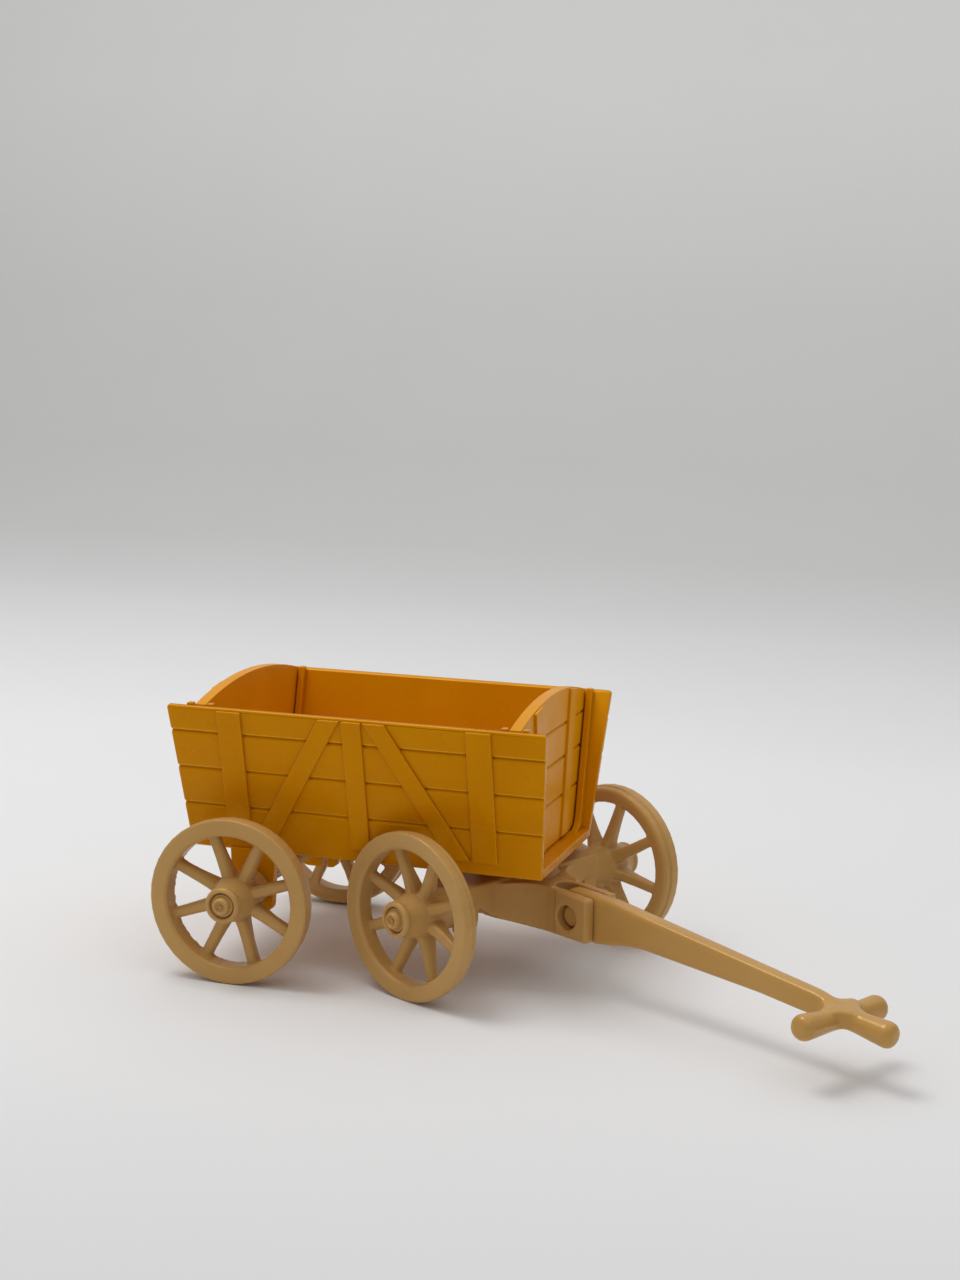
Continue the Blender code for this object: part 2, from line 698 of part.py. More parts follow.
def beam_foot_height(across):
    """Height of the beam's underside at a distance from its middle."""
    points = beam_foot()
    if across <= points[0][0]:
        return points[0][1]
    for (low_y, low_z), (high_y, high_z) in zip(points, points[1:]):
        if across <= high_y:
            return low_z + (high_z - low_z) * (across - low_y) / (high_y - low_y)
    return points[-1][1]


def beam_outline():
    """The bogie's beam from in front: deep in the middle, arched up towards its bearing plates."""
    return mirrored(beam_foot() + [(FRONT_PLATE_FACE, BEAM_TOP)])


def neck_outline():
    """The neck and fork from the side: top and bottom falling slightly towards the front."""
    front_bottom = (CHEEK_FRONT - CHEEK_ROUND, CHEEK_BOTTOM_FRONT + CHEEK_ROUND)
    front_top = (CHEEK_FRONT - CHEEK_ROUND, CHEEK_TOP_FRONT - CHEEK_ROUND)
    outline = [(-BEARING_HALF_WIDTH + 1.0, BODY_BOTTOM), (TURNTABLE_RADIUS, BODY_BOTTOM)]
    outline += arc(front_bottom, CHEEK_ROUND, -90.0, 0.0, 2)
    outline += arc(front_top, CHEEK_ROUND, 0.0, 90.0, 2)
    outline += [(BEARING_HALF_WIDTH, NECK_TOP), (-BEARING_HALF_WIDTH + 1.0, NECK_TOP)]
    return outline


def cheek_pad_outline():
    """The raised pad round the hinge on each cheek, seen from the side."""
    drop = (NECK_TOP - CHEEK_TOP_FRONT) / (CHEEK_FRONT - BEARING_HALF_WIDTH)
    rear_top = CHEEK_TOP_FRONT + drop * (CHEEK_FRONT - CHEEK_REAR)
    inset = 0.25
    return [
        (CHEEK_REAR, CHEEK_BOTTOM_FRONT + 2.0 * inset),
        (CHEEK_FRONT - inset, CHEEK_BOTTOM_FRONT + 2.0 * inset),
        (CHEEK_FRONT - inset, CHEEK_TOP_FRONT - inset),
        (CHEEK_REAR, rear_top - inset),
    ]


def fillet_sections():
    """Sections of the web between beam and neck, a little sunk in both: distance forward and reach sideways."""
    centre = (BEARING_HALF_WIDTH - 0.1 + NECK_FILLET, NECK_HALF_WIDTH - 0.1 + NECK_FILLET)
    curve = arc(centre, NECK_FILLET, 183.0, 267.0, 9)
    return [(BEARING_HALF_WIDTH - 1.0, curve[0][1])] + curve


def add_fillet(mesh_editor, side):
    """Adds the web in one corner between beam and neck, its underside following the beam's arch."""
    inner = NECK_HALF_WIDTH - 1.0
    top = NECK_TOP - 0.1
    rings = []
    for forward, reach in fillet_sections():
        section = (
            (inner, BODY_BOTTOM + 0.05),
            (reach, beam_foot_height(reach) + 0.05),
            (reach, top),
            (inner, top),
        )
        rings.append([mesh_editor.verts.new((forward, side * y, z)) for y, z in section])
    for low, high in zip(rings, rings[1:]):
        for index in range(4):
            following = (index + 1) % 4
            mesh_editor.faces.new((low[index], low[following], high[following], high[index]))
    mesh_editor.faces.new(list(reversed(rings[0])))
    mesh_editor.faces.new(rings[-1])


def fork_slot_outline():
    """The fork's slot from above, rounded at its rear end."""
    rear = FORK_REAR + FORK_HALF_WIDTH
    front = CHEEK_FRONT + 1.0
    ring = arc((rear, 0.0), FORK_HALF_WIDTH, 90.0, 270.0, 8)
    return [(front, FORK_HALF_WIDTH)] + ring + [(front, -FORK_HALF_WIDTH)]


def turntable_profile():
    """Round pad on the beam that the box's floor turns on."""
    top = FLOOR_UNDERSIDE - GAP
    return [
        (0.0, BEAM_TOP - 1.0),
        (TURNTABLE_RADIUS, BEAM_TOP - 1.0),
        (TURNTABLE_RADIUS, top - 0.3),
        (TURNTABLE_RADIUS - 0.3, top),
        (0.0, top),
    ]


def king_bore_profile():
    """The stepped bore that takes the king post, wide enough below for its snap head."""
    shelf = KING_HEAD_TOP + GAP
    return [
        (0.0, BODY_BOTTOM - 1.0),
        (KING_RECESS_RADIUS, BODY_BOTTOM - 1.0),
        (KING_RECESS_RADIUS, shelf),
        (KING_RADIUS + GAP, shelf),
        (KING_RADIUS + GAP, FLOOR_UNDERSIDE + 1.0),
        (0.0, FLOOR_UNDERSIDE + 1.0),
    ]


def hinge_bore_profile():
    """The hinge's bore through both cheeks, with its outer edges broken."""
    bore = TRUNNION_RADIUS + GAP
    lip = bore + HINGE_LIP
    outside = CHEEK_HALF_WIDTH + 1.0
    right = [(bore, CHEEK_HALF_WIDTH - HINGE_LIP), (lip, CHEEK_HALF_WIDTH), (lip, outside), (0.0, outside)]
    return [(radius, -height) for radius, height in reversed(right)] + right


def cut_bogie(bogie):
    """Cuts the fork's slot, the hinge bores, the king post's bore and the axle's snap slots."""
    slot = prism("fork_slot", fork_slot_outline(), "Z", BODY_BOTTOM - 2.0, BEAM_TOP + 2.0)
    combine(bogie, slot, "DIFFERENCE")
    hinge_bore = turned("hinge_bore", hinge_bore_profile(), (0.0, 1.0, 0.0), HUB_SEGMENTS)
    hinge_bore.location = Vector((HINGE_FORWARD, 0.0, HINGE_HEIGHT)) * MM
    combine(bogie, hinge_bore, "DIFFERENCE")
    king_bore = turned("king_bore", king_bore_profile(), (0.0, 0.0, 1.0), HUB_SEGMENTS)
    combine(bogie, king_bore, "DIFFERENCE")
    reach = FRONT_PLATE_FACE + 1.0
    slots = prism("bogie_slots", snap_slot_outline(0.0, FRONT_SLOT), "Y", -reach, reach)
    combine(bogie, slots, "DIFFERENCE")


def build_bogie(material):
    """The steered front bogie: beam, bearing plates, turntable, neck and fork in one moulding."""
    bogie = prism("front_bogie", beam_outline(), "X", -BEARING_HALF_WIDTH, BEARING_HALF_WIDTH, material)
    bevel(bogie, BEAM_EDGE_ROUND, 2, 80.0)
    mesh_editor = bmesh.new()
    add_bearings(mesh_editor, BEAM_TOP - 1.5, 0.0, FRONT_PLATE_FACE - 0.02, FRONT_PLATE_THICKNESS)
    combine(bogie, to_object("bogie_bearings", mesh_editor), "UNION")
    neck = prism("neck", neck_outline(), "Y", -NECK_HALF_WIDTH, NECK_HALF_WIDTH)
    bevel(neck, NECK_ROUND, 2, 60.0)
    pads = prism("pads", cheek_pad_outline(), "Y", -CHEEK_HALF_WIDTH, CHEEK_HALF_WIDTH)
    combine(neck, pads, "UNION")
    combine(bogie, neck, "UNION")
    mesh_editor = bmesh.new()
    for side in (-1.0, 1.0):
        add_fillet(mesh_editor, side)
    combine(bogie, to_object("fillets", mesh_editor), "UNION")
    turntable = turned("turntable", turntable_profile(), (0.0, 0.0, 1.0), RIM_SEGMENTS)
    combine(bogie, turntable, "UNION")
    cut_bogie(bogie)
    tidy_mesh(bogie)
    shade(bogie)
    bogie.location = (FRONT_AXLE_X * MM, 0.0, 0.0)
    bogie.rotation_euler = (0.0, 0.0, math.radians(STEER_ANGLE))
    return bogie


def bar_outline():
    """The drawbar from the side, its hinge at the origin: a heel in the fork and a tapering bar."""
    heel = arc(HEEL_TOP_CORNER, HEEL_TOP_ROUND, 90.0, 180.0, 3)
    heel += arc(HEEL_FOOT_CORNER, HEEL_FOOT_ROUND, 180.0, 270.0, 4)
    underside = [(5.3, -3.8), (8.9, -2.95), (11.9, -2.05), (16.2, -1.3), (41.5, -0.1), (CROSS_X - 3.0, -0.1)]
    end = [(CROSS_X, 0.1), (CROSS_X, BAR_AXIS_Z + 1.8)]
    topside = [(CROSS_X - 4.5, 4.0), (14.9, 4.85), (7.9, 5.0)]
    return heel + underside + end + topside


def taper_bar(bar):
    """Narrows the bar evenly towards its grip."""
    for vertex in bar.data.vertices:
        share = min(max(vertex.co.x / (CROSS_X * MM), 0.0), 1.0)
        vertex.co.y *= 1.0 + share * (BAR_END_HALF_WIDTH / BAR_HALF_WIDTH - 1.0)


def grip_half_profile(length):
    """One half of a waisted round grip, from its narrow middle to its rounded end."""
    edge = GRIP_END_ROUND
    half = [(GRIP_NECK_RADIUS, 0.0), (GRIP_NECK_RADIUS * 1.08, 0.33 * length)]
    half += arc((GRIP_END_RADIUS - edge, length - edge), edge, 0.0, 90.0, 3)
    return half + [(0.0, length)]


def grip_profile():
    """The cross grip's two arms in one turned piece."""
    half = grip_half_profile(ARM_HALF_LENGTH)
    return [(radius, -height) for radius, height in reversed(half[1:])] + half


def stub_profile():
    """The round stub ahead of the cross grip."""
    return [(0.0, 0.0)] + grip_half_profile(STUB_REACH)


def web_outline():
    """The web in the four corners of the crossing, seen from above."""
    reach = WEB_HALF_WIDTH + WEB_RADIUS
    outline = []
    for x_side, y_side, start in ((1.0, 1.0, 270.0), (-1.0, 1.0, 360.0), (-1.0, -1.0, 90.0), (1.0, -1.0, 180.0)):
        outline += arc((x_side * reach, y_side * reach), WEB_RADIUS, start, start - 90.0, 4)
    return outline


def build_grip():
    """The cross grip with its stub and web, about the crossing's middle."""
    grip = turned("arms", grip_profile(), (0.0, 1.0, 0.0), GRIP_SEGMENTS)
    twist = Matrix.Rotation(math.radians(GRIP_TWIST), 4, "X")
    grip.data.transform(Matrix.Translation((0.0, 0.0, -GRIP_DROP * MM)) @ twist)
    combine(grip, turned("stub", stub_profile(), (1.0, 0.0, 0.0), GRIP_SEGMENTS), "UNION")
    web = prism("web", web_outline(), "Z", WEB_BOTTOM, WEB_TOP)
    bevel(web, WEB_EDGE_ROUND, 2, 60.0)
    combine(grip, web, "UNION")
    return grip


def build_drawbar(parent, material):
    """The drawbar with trunnions in the fork and a cross grip at its front."""
    bar = prism("drawbar", bar_outline(), "Y", -BAR_HALF_WIDTH, BAR_HALF_WIDTH, material)
    taper_bar(bar)
    bevel(bar, BAR_EDGE_ROUND, 2, 60.0)
    grip = build_grip()
    grip.location = Vector((CROSS_X, 0.0, BAR_AXIS_Z)) * MM
    combine(bar, grip, "UNION")
    reach = CHEEK_HALF_WIDTH - TRUNNION_SINK
    pin_profile = [
        (0.0, -reach),
        (TRUNNION_RADIUS, -reach),
        (TRUNNION_RADIUS, reach),
        (0.0, reach),
    ]
    combine(bar, turned("trunnions", pin_profile, (0.0, 1.0, 0.0), HUB_SEGMENTS), "UNION")
    tidy_mesh(bar)
    shade(bar, 35.0)
    bar.parent = parent
    bar.location = Vector((HINGE_FORWARD, 0.0, HINGE_HEIGHT)) * MM
    bar.rotation_euler = (0.0, math.radians(DRAWBAR_PITCH), math.radians(DRAWBAR_YAW))
    return bar


def main():
    """Clears the scene and builds every piece of the cart in its place."""
    for existing in list(bpy.data.objects):
        bpy.data.objects.remove(existing, do_unlink=True)
    box_plastic = make_material("box_plastic", YELLOW)
    board_plastic = make_material("board_plastic", YELLOW_BOARD)
    wheel_plastic = make_material("wheel_plastic", TAN)
    axle_plastic = make_material("axle_plastic", TAN)
    bogie_plastic = make_material("bogie_plastic", TAN)
    drawbar_plastic = make_material("drawbar_plastic", TAN_DRAWBAR)

    ground = bpy.data.objects.new("ground", None)
    bpy.context.scene.collection.objects.link(ground)
    ground.location = (0.0, 0.0, -FLOOR_TOP * MM)

    box = build_cart_box(box_plastic)
    front_board = build_board("front_end_board", 1.0, board_plastic)
    rear_board = build_board("rear_end_board", -1.0, board_plastic)
    bogie = build_bogie(bogie_plastic)
    for piece in (box, front_board, rear_board, bogie):
        piece.parent = ground
    build_drawbar(bogie, drawbar_plastic)

    rear_place = (REAR_AXLE_X, 0.0, AXLE_HEIGHT)
    front_place = (0.0, 0.0, AXLE_HEIGHT)
    build_axle("rear_axle", ground, rear_place, axle_plastic)
    build_axle("front_axle", bogie, front_place, axle_plastic)
    wheel_mesh = build_wheel_mesh(wheel_plastic)
    place_wheel("rear_right_wheel", wheel_mesh, ground, rear_place, -1.0, REAR_RIGHT_PHASE)
    place_wheel("rear_left_wheel", wheel_mesh, ground, rear_place, 1.0, REAR_LEFT_PHASE)
    place_wheel("front_right_wheel", wheel_mesh, bogie, front_place, -1.0, FRONT_RIGHT_PHASE)
    place_wheel("front_left_wheel", wheel_mesh, bogie, front_place, 1.0, FRONT_LEFT_PHASE)
    bpy.context.view_layer.update()


main()
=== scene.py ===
"""Looks of a moulded toy handcart: soft-edged plastic pieces on a pale paper sweep.

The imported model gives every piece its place. Each moulding is taken up from it, gets the rounded
edges and corners that a moulded part has, and is dressed in its own plastic. Lengths are in
millimetres on the real toy, unless a comment says otherwise.
"""
import logging
import math
from dataclasses import dataclass, field
from enum import Enum
from typing import Callable, Iterable, Optional, Sequence

import bpy
from mathutils import Matrix, Vector


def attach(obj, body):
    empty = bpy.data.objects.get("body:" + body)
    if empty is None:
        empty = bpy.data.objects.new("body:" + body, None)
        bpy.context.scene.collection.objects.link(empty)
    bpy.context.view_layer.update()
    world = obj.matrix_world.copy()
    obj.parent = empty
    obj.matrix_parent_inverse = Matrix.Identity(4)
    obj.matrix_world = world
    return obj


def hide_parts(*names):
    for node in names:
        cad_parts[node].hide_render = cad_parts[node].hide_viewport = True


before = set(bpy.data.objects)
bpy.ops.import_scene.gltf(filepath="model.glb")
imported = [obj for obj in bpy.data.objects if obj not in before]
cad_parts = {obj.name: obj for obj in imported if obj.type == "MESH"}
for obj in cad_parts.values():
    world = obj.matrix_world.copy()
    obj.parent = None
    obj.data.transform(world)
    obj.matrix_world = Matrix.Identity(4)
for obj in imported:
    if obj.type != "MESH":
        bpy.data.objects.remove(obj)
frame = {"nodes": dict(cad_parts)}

LOG = logging.getLogger("handcart")

# Metres in a millimetre.
MM = 0.001

# Short names of the types that the signatures use most.
Tree = bpy.types.NodeTree
Socket = bpy.types.NodeSocket
Piece = bpy.types.Object
Span = tuple[float, float]
Spot = tuple[float, float, float]

# The running gear, seen from the middle of the load bed: the floor's depth, the axles and their ways.
FLOOR_DROP = 23.2
REAR_AXLE: Spot = (-20.9, 0.0, -8.2)
FRONT_AXLE: Spot = (24.0, 0.0, -8.2)
TO_LEFT: Spot = (0.0, 1.0, 0.0)
TO_RIGHT: Spot = (0.0, -1.0, 0.0)
STEERED_TO_LEFT: Spot = (0.449319, 0.893371, 0.0)
STEERED_TO_RIGHT: Spot = (-0.449319, -0.893371, 0.0)

# Numbers of a Mix node's colour sockets, whose names are shared by its other types.
MIX_AMOUNT = 0
MIX_FIRST = 6
MIX_SECOND = 7
MIX_RESULT = 2

# Least cosine between a face's normal and the way that it has to face.
FACING = 0.99

# Share of the way to its neighbours' middle that a point goes in one smoothing step.
SMOOTH_SHARE = 0.5


class Body(Enum):
    """The cart's moving bodies."""

    CART = "cart"
    FRONT_BOARD = "front_board"
    REAR_BOARD = "rear_board"
    BOGIE = "bogie"
    DRAWBAR = "drawbar"
    REAR_RIGHT_WHEEL = "rear_right_wheel"
    REAR_LEFT_WHEEL = "rear_left_wheel"
    FRONT_RIGHT_WHEEL = "front_right_wheel"
    FRONT_LEFT_WHEEL = "front_left_wheel"


class Slot(Enum):
    """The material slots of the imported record."""

    BOX = "box_plastic"
    BOARD = "board_plastic"
    WHEEL = "wheel_plastic"
    AXLE = "axle_plastic"
    BOGIE = "bogie_plastic"
    DRAWBAR = "drawbar_plastic"


def linear(hex_colour: str) -> tuple[float, float, float, float]:
    """Turns an sRGB hex colour into linear red, green, blue and alpha.

    Args:
        hex_colour: six hex digits after a hash.

    Returns:
        The four linear values.
    """
    digits = hex_colour.lstrip("#")
    channels = [int(digits[i:i + 2], 16) / 255.0 for i in (0, 2, 4)]
    curved = [c / 12.92 if c <= 0.04045 else ((c + 0.055) / 1.055) ** 2.4 for c in channels]
    return (curved[0], curved[1], curved[2], 1.0)


def empty_material(name: str) -> bpy.types.Material:
    """Makes a material whose node tree is still empty.

    Args:
        name: the material's name.

    Returns:
        The new material.
    """
    material = bpy.data.materials.new(name)
    material.use_nodes = True
    material.node_tree.nodes.clear()
    return material


def add_node(tree: Tree, kind: str, settings: Optional[dict] = None,
             values: Optional[dict] = None) -> bpy.types.Node:
    """Adds a node with its settings, its fixed inputs and its links.

    Args:
        tree: the node tree.
        kind: the node's type name.
        settings: properties of the node itself.
        values: for each input, by name or number, a fixed value or the socket linked to it.

    Returns:
        The new node.
    """
    node = tree.nodes.new(kind)
    for name, value in (settings or {}).items():
        setattr(node, name, value)
    for key, value in (values or {}).items():
        if isinstance(value, Socket):
            tree.links.new(value, node.inputs[key])
        else:
            node.inputs[key].default_value = value
    return node


def combine(tree: Tree, operation: str, first: object, second: object) -> Socket:
    """Combines two numbers by one operation and gives the result's socket."""
    node = add_node(tree, "ShaderNodeMath", {"operation": operation}, {0: first, 1: second})
    return node.outputs["Value"]


def mix(tree: Tree, amount: object, first: object, second: object, blend: str = "MIX") -> Socket:
    """Mixes two colours by an amount and gives the mixed colour's socket."""
    node = add_node(tree, "ShaderNodeMix", {"data_type": "RGBA", "blend_type": blend}, {
        MIX_AMOUNT: amount, MIX_FIRST: first, MIX_SECOND: second})
    return node.outputs[MIX_RESULT]


def spread(tree: Tree, value: Socket, source: Span = (0.0, 1.0), target: Span = (0.0, 1.0)) -> Socket:
    """Carries a value from one span over to another and holds it at the ends.

    Args:
        tree: the node tree.
        value: the socket with the value.
        source: the values that become the two ends of the target.
        target: the two ends of the result.

    Returns:
        The socket with the result.
    """
    node = add_node(tree, "ShaderNodeMapRange", {"clamp": True}, {
        "Value": value, "From Min": source[0], "From Max": source[1],
        "To Min": target[0], "To Max": target[1]})
    return node.outputs["Result"]


@dataclass(frozen=True)
class MouldedPlastic:
    """A glossy injection-moulded plastic, clouded, with painted shade in its creases and a painted
    highlight at its edges.

    Attributes:
        colour: the resin's own colour.
        clouded: the colour of its clouds.
        painted_crease_shade: painted shade, the darker colour that narrow places are mixed towards.
        speck: the colour of its few specks.
        painted_edge_highlight: a painted highlight, the light colour that edges are mixed towards,
            standing in for light caught at thin edges.
        polish: how far the roughness falls where nothing rubs.
        wear: how far it rises where hands do.
        painted_shade_levels: the shares of open surroundings at which the painted shade begins and is
            full.
        painted_highlight_levels: the cosines at which the painted edge highlight begins and is full.
    """

    name: str
    colour: str
    clouded: str
    painted_crease_shade: str
    speck: str
    roughness: float
    polish: float = 0.05
    wear: float = 0.09
    rub_size: float = 9.0
    rub_levels: Span = (0.35, 0.7)
    cloud_size: float = 14.0
    cloud_levels: Span = (0.38, 0.68)
    cloud_strength: float = 0.5
    speck_size: float = 0.9
    speck_levels: Span = (0.735, 0.76)
    speck_strength: float = 0.12
    grain_size: float = 0.35
    grain_levels: Span = (0.25, 0.75)
    grain_height: float = 0.004
    sink_size: float = 7.0
    sink_levels: Span = (0.2, 0.8)
    sink_height: float = 0.02
    # Painted shade: narrow places, found by ambient occlusion, are mixed towards a darker colour.
    painted_shade_reach: float = 0.8
    painted_shade_levels: Span = (0.85, 0.4)
    painted_shade_samples: int = 8
    painted_shade_strength: float = 0.85
    edge_round: float = 0.08
    edge_round_samples: int = 4
    # Painted highlight: edges, found from a bevel normal, are mixed towards a lighter colour.
    painted_edge_highlight: str = "#FFFFFF"
    painted_highlight_reach: float = 0.3
    painted_highlight_levels: Span = (0.99, 0.85)
    painted_highlight_samples: int = 8
    painted_highlight_strength: float = 0.0
    specular_tint: str = "#FFFFFF"
    ior: float = 1.5
    noise_roughness: float = 0.55

    def build(self) -> bpy.types.Material:
        """Builds the node tree.

        Returns:
            The finished material.
        """
        material = empty_material(self.name)
        tree = material.node_tree
        place = add_node(tree, "ShaderNodeTexCoord").outputs["Object"]
        shader = add_node(tree, "ShaderNodeBsdfPrincipled", values={
            "Base Color": self._colour(tree, place),
            "Roughness": self._roughness(tree, place),
            "Normal": self._relief(tree, place),
            "Metallic": 0.0,
            "IOR": self.ior,
            "Specular Tint": linear(self.specular_tint),
        })
        add_node(tree, "ShaderNodeOutputMaterial", values={"Surface": shader.outputs["BSDF"]})
        return material

    def _noise(self, tree: Tree, place: Socket, size: float, octaves: float, levels: Span) -> Socket:
        """Gives a noise of a real feature size, spread from 0 to 1 between two of its levels.

        Args:
            tree: the node tree.
            place: the object coordinates.
            size: feature size in millimetres.
            octaves: octaves of detail.
            levels: the noise levels that become 0 and 1.

        Returns:
            The socket with the spread noise.
        """
        noise = add_node(tree, "ShaderNodeTexNoise", values={
            "Vector": place, "Scale": 1.0 / (size * MM), "Detail": octaves,
            "Roughness": self.noise_roughness})
        return spread(tree, noise.outputs["Fac"], levels)

    def _colour(self, tree: Tree, place: Socket) -> Socket:
        """Colour: clouds as of a resin mixed by the screw, a few specks, a painted highlight on edges,
        painted shade in creases.

        Args:
            tree: the node tree.
            place: the object coordinates.

        Returns:
            The socket with the colour.
        """
        clouds = self._noise(tree, place, self.cloud_size, 3.0, self.cloud_levels)
        amount = combine(tree, "MULTIPLY", clouds, self.cloud_strength)
        colour = mix(tree, amount, linear(self.colour), linear(self.clouded))
        specks = self._noise(tree, place, self.speck_size, 1.0, self.speck_levels)
        amount = combine(tree, "MULTIPLY", specks, self.speck_strength)
        colour = mix(tree, amount, colour, linear(self.speck))
        # Painted shade from an ambient-occlusion mask; it also keeps the painted edge highlight out of
        # narrow places.
        closed = self._painted_shade_mask(tree)
        # Painted highlight on edges outside the painted shade.
        if self.painted_highlight_strength:
            free = combine(tree, "MULTIPLY", self._painted_highlight_mask(tree), combine(tree, "SUBTRACT", 1.0, closed))
            amount = combine(tree, "MULTIPLY", free, self.painted_highlight_strength)
            colour = mix(tree, amount, colour, linear(self.painted_edge_highlight))
        # Painted shade: narrow places are mixed towards a darker colour.
        amount = combine(tree, "MULTIPLY", closed, self.painted_shade_strength)
        return mix(tree, amount, colour, linear(self.painted_crease_shade))

    def _painted_shade_mask(self, tree: Tree) -> Socket:
        """Gives the painted shade: 1 in narrow places of the piece, where little ambient light gets in,
        and 0 on open faces.

        Args:
            tree: the node tree.

        Returns:
            The socket with the share.
        """
        settings = {"samples": self.painted_shade_samples, "only_local": True}
        open_sky = add_node(tree, "ShaderNodeAmbientOcclusion", settings, {
            "Distance": self.painted_shade_reach * MM})
        return spread(tree, open_sky.outputs["AO"], self.painted_shade_levels)

    def _painted_highlight_mask(self, tree: Tree) -> Socket:
        """Gives the painted highlight: 1 along edges, standing in for light caught and let through at
        thin edges, and 0 on open faces.

        Args:
            tree: the node tree.

        Returns:
            The socket with the share.
        """
        rounded = add_node(tree, "ShaderNodeBevel", {"samples": self.painted_highlight_samples}, {
            "Radius": self.painted_highlight_reach * MM})
        face = add_node(tree, "ShaderNodeNewGeometry").outputs["True Normal"]
        turned = add_node(tree, "ShaderNodeVectorMath", {"operation": "DOT_PRODUCT"}, {
            0: rounded.outputs["Normal"], 1: face})
        return spread(tree, turned.outputs["Value"], self.painted_highlight_levels)

    def _roughness(self, tree: Tree, place: Socket) -> Socket:
        """Roughness: a moulded gloss, duller where hands have rubbed it."""
        rubbed = self._noise(tree, place, self.rub_size, 4.0, self.rub_levels)
        return spread(tree, rubbed, target=(self.roughness - self.polish, self.roughness + self.wear))

    def _relief(self, tree: Tree, place: Socket) -> Socket:
        """Relief: edges softened as a mould leaves them, slow sink marks and a fine spark grain.

        Args:
            tree: the node tree.
            place: the object coordinates.

        Returns:
            The socket with the normal.
        """
        edge = add_node(tree, "ShaderNodeBevel", {"samples": self.edge_round_samples}, {
            "Radius": self.edge_round * MM})
        sink = self._noise(tree, place, self.sink_size, 1.0, self.sink_levels)
        slow = add_node(tree, "ShaderNodeBump", values={
            "Height": sink, "Distance": self.sink_height * MM, "Strength": 1.0,
            "Normal": edge.outputs["Normal"]})
        grain = self._noise(tree, place, self.grain_size, 2.0, self.grain_levels)
        fine = add_node(tree, "ShaderNodeBump", values={
            "Height": grain, "Distance": self.grain_height * MM, "Strength": 1.0,
            "Normal": slow.outputs["Normal"]})
        return fine.outputs["Normal"]


@dataclass(frozen=True)
class MattePaper:
    """Uncoated white paper of a sweep, with a faint pulp cloud and painted light and shade that change
    slowly along its length.

    Attributes:
        painted_light_grading: painted light and shade, a colour for each place along the sheet, where a
            place is the way back along the floor added to the height up the bend.
    """

    name: str
    painted_light_grading: tuple[tuple[float, str], ...]
    cloud_size: float = 60.0
    cloud_strength: float = 0.03
    roughness: float = 0.9
    specular: float = 0.2

    def build(self) -> bpy.types.Material:
        """Builds the node tree.

        Returns:
            The finished material.
        """
        material = empty_material(self.name)
        tree = material.node_tree
        place = add_node(tree, "ShaderNodeTexCoord").outputs["Object"]
        noise = add_node(tree, "ShaderNodeTexNoise", values={
            "Vector": place, "Scale": 1.0 / (self.cloud_size * MM), "Detail": 3.0})
        cloud = spread(tree, noise.outputs["Fac"], target=(1.0 - self.cloud_strength, 1.0))
        # The paper's colour carries painted light and shade along the sheet, times the pulp cloud.
        tone = mix(tree, 1.0, self._painted_light_colour(tree, place), cloud, blend="MULTIPLY")
        shader = add_node(tree, "ShaderNodeBsdfPrincipled", values={
            "Base Color": tone, "Roughness": self.roughness, "Specular IOR Level": self.specular})
        add_node(tree, "ShaderNodeOutputMaterial", values={"Surface": shader.outputs["BSDF"]})
        return material

    def _painted_light_colour(self, tree: Tree, place: Socket) -> Socket:
        """Gives the colour of the painted light and shade along the sheet.

        Args:
            tree: the node tree.
            place: the object coordinates.

        Returns:
            The socket with the colour.
        """
        first = self.painted_light_grading[0][0]
        last = self.painted_light_grading[-1][0]
        axes = add_node(tree, "ShaderNodeSeparateXYZ", values={"Vector": place})
        along = combine(tree, "ADD", axes.outputs["Y"], axes.outputs["Z"])
        share = spread(tree, along, (first * MM, last * MM))
        ramp = add_node(tree, "ShaderNodeValToRGB", values={"Fac": share})
        stops = ramp.color_ramp.elements
        for number, (distance, colour) in enumerate(self.painted_light_grading):
            position = (distance - first) / (last - first)
            stop = stops[0] if number == 0 else stops.new(position)
            stop.position = position
            stop.color = linear(colour)
        stops.remove(stops[-1])
        return ramp.outputs["Color"]


# The box: a hard glossy ABS, injection moulded in a saturated orange yellow. Head-on its gloss takes
# the resin's own colour; at a low angle it mirrors the pale surroundings.
# Its edges carry a painted highlight and its narrow places painted shade.
BOX_ABS = MouldedPlastic(
    name="yellow_abs_injection_moulded_box",
    colour="#D98B03", clouded="#CC7D02", painted_crease_shade="#9C5400", speck="#B06A00",
    roughness=0.27, specular_tint="#FFCC14", cloud_size=16.0, painted_shade_strength=0.5, edge_round=0.12,
    painted_edge_highlight="#FFC42C", painted_highlight_strength=0.8)

# The end boards: the same ABS from another mould, a little lighter and duller, so that the slanting
# light stays soft on them.
# Its edges carry a painted highlight and its narrow places painted shade.
BOARD_ABS = MouldedPlastic(
    name="yellow_abs_injection_moulded_board",
    colour="#E49806", clouded="#D98B04", painted_crease_shade="#A45A00", speck="#B87000",
    roughness=0.34, specular_tint="#FFD448", cloud_size=13.0, ior=1.3, painted_shade_strength=0.35,
    painted_edge_highlight="#FFC42C", painted_highlight_strength=0.6)

# The wheels: a light brown polyethylene-like resin with a waxy, softer gloss.
WHEEL_RESIN = MouldedPlastic(
    name="tan_resin_injection_moulded_wheel",
    colour="#C3985A", clouded="#B98D4E", painted_crease_shade="#7C5526", speck="#94703C",
    roughness=0.33, specular_tint="#FFE4B8", cloud_size=10.0, painted_shade_strength=0.5)

# The axles: the wheels' resin, a touch glossier, with painted shade in the creases round the rings of
# the heads.
AXLE_RESIN = MouldedPlastic(
    name="tan_resin_injection_moulded_axle",
    colour="#C4995B", clouded="#BA8E4F", painted_crease_shade="#7A5224", speck="#94703C",
    roughness=0.3, specular_tint="#FFE4B8", cloud_size=8.0, painted_shade_reach=1.0, painted_shade_strength=0.5)

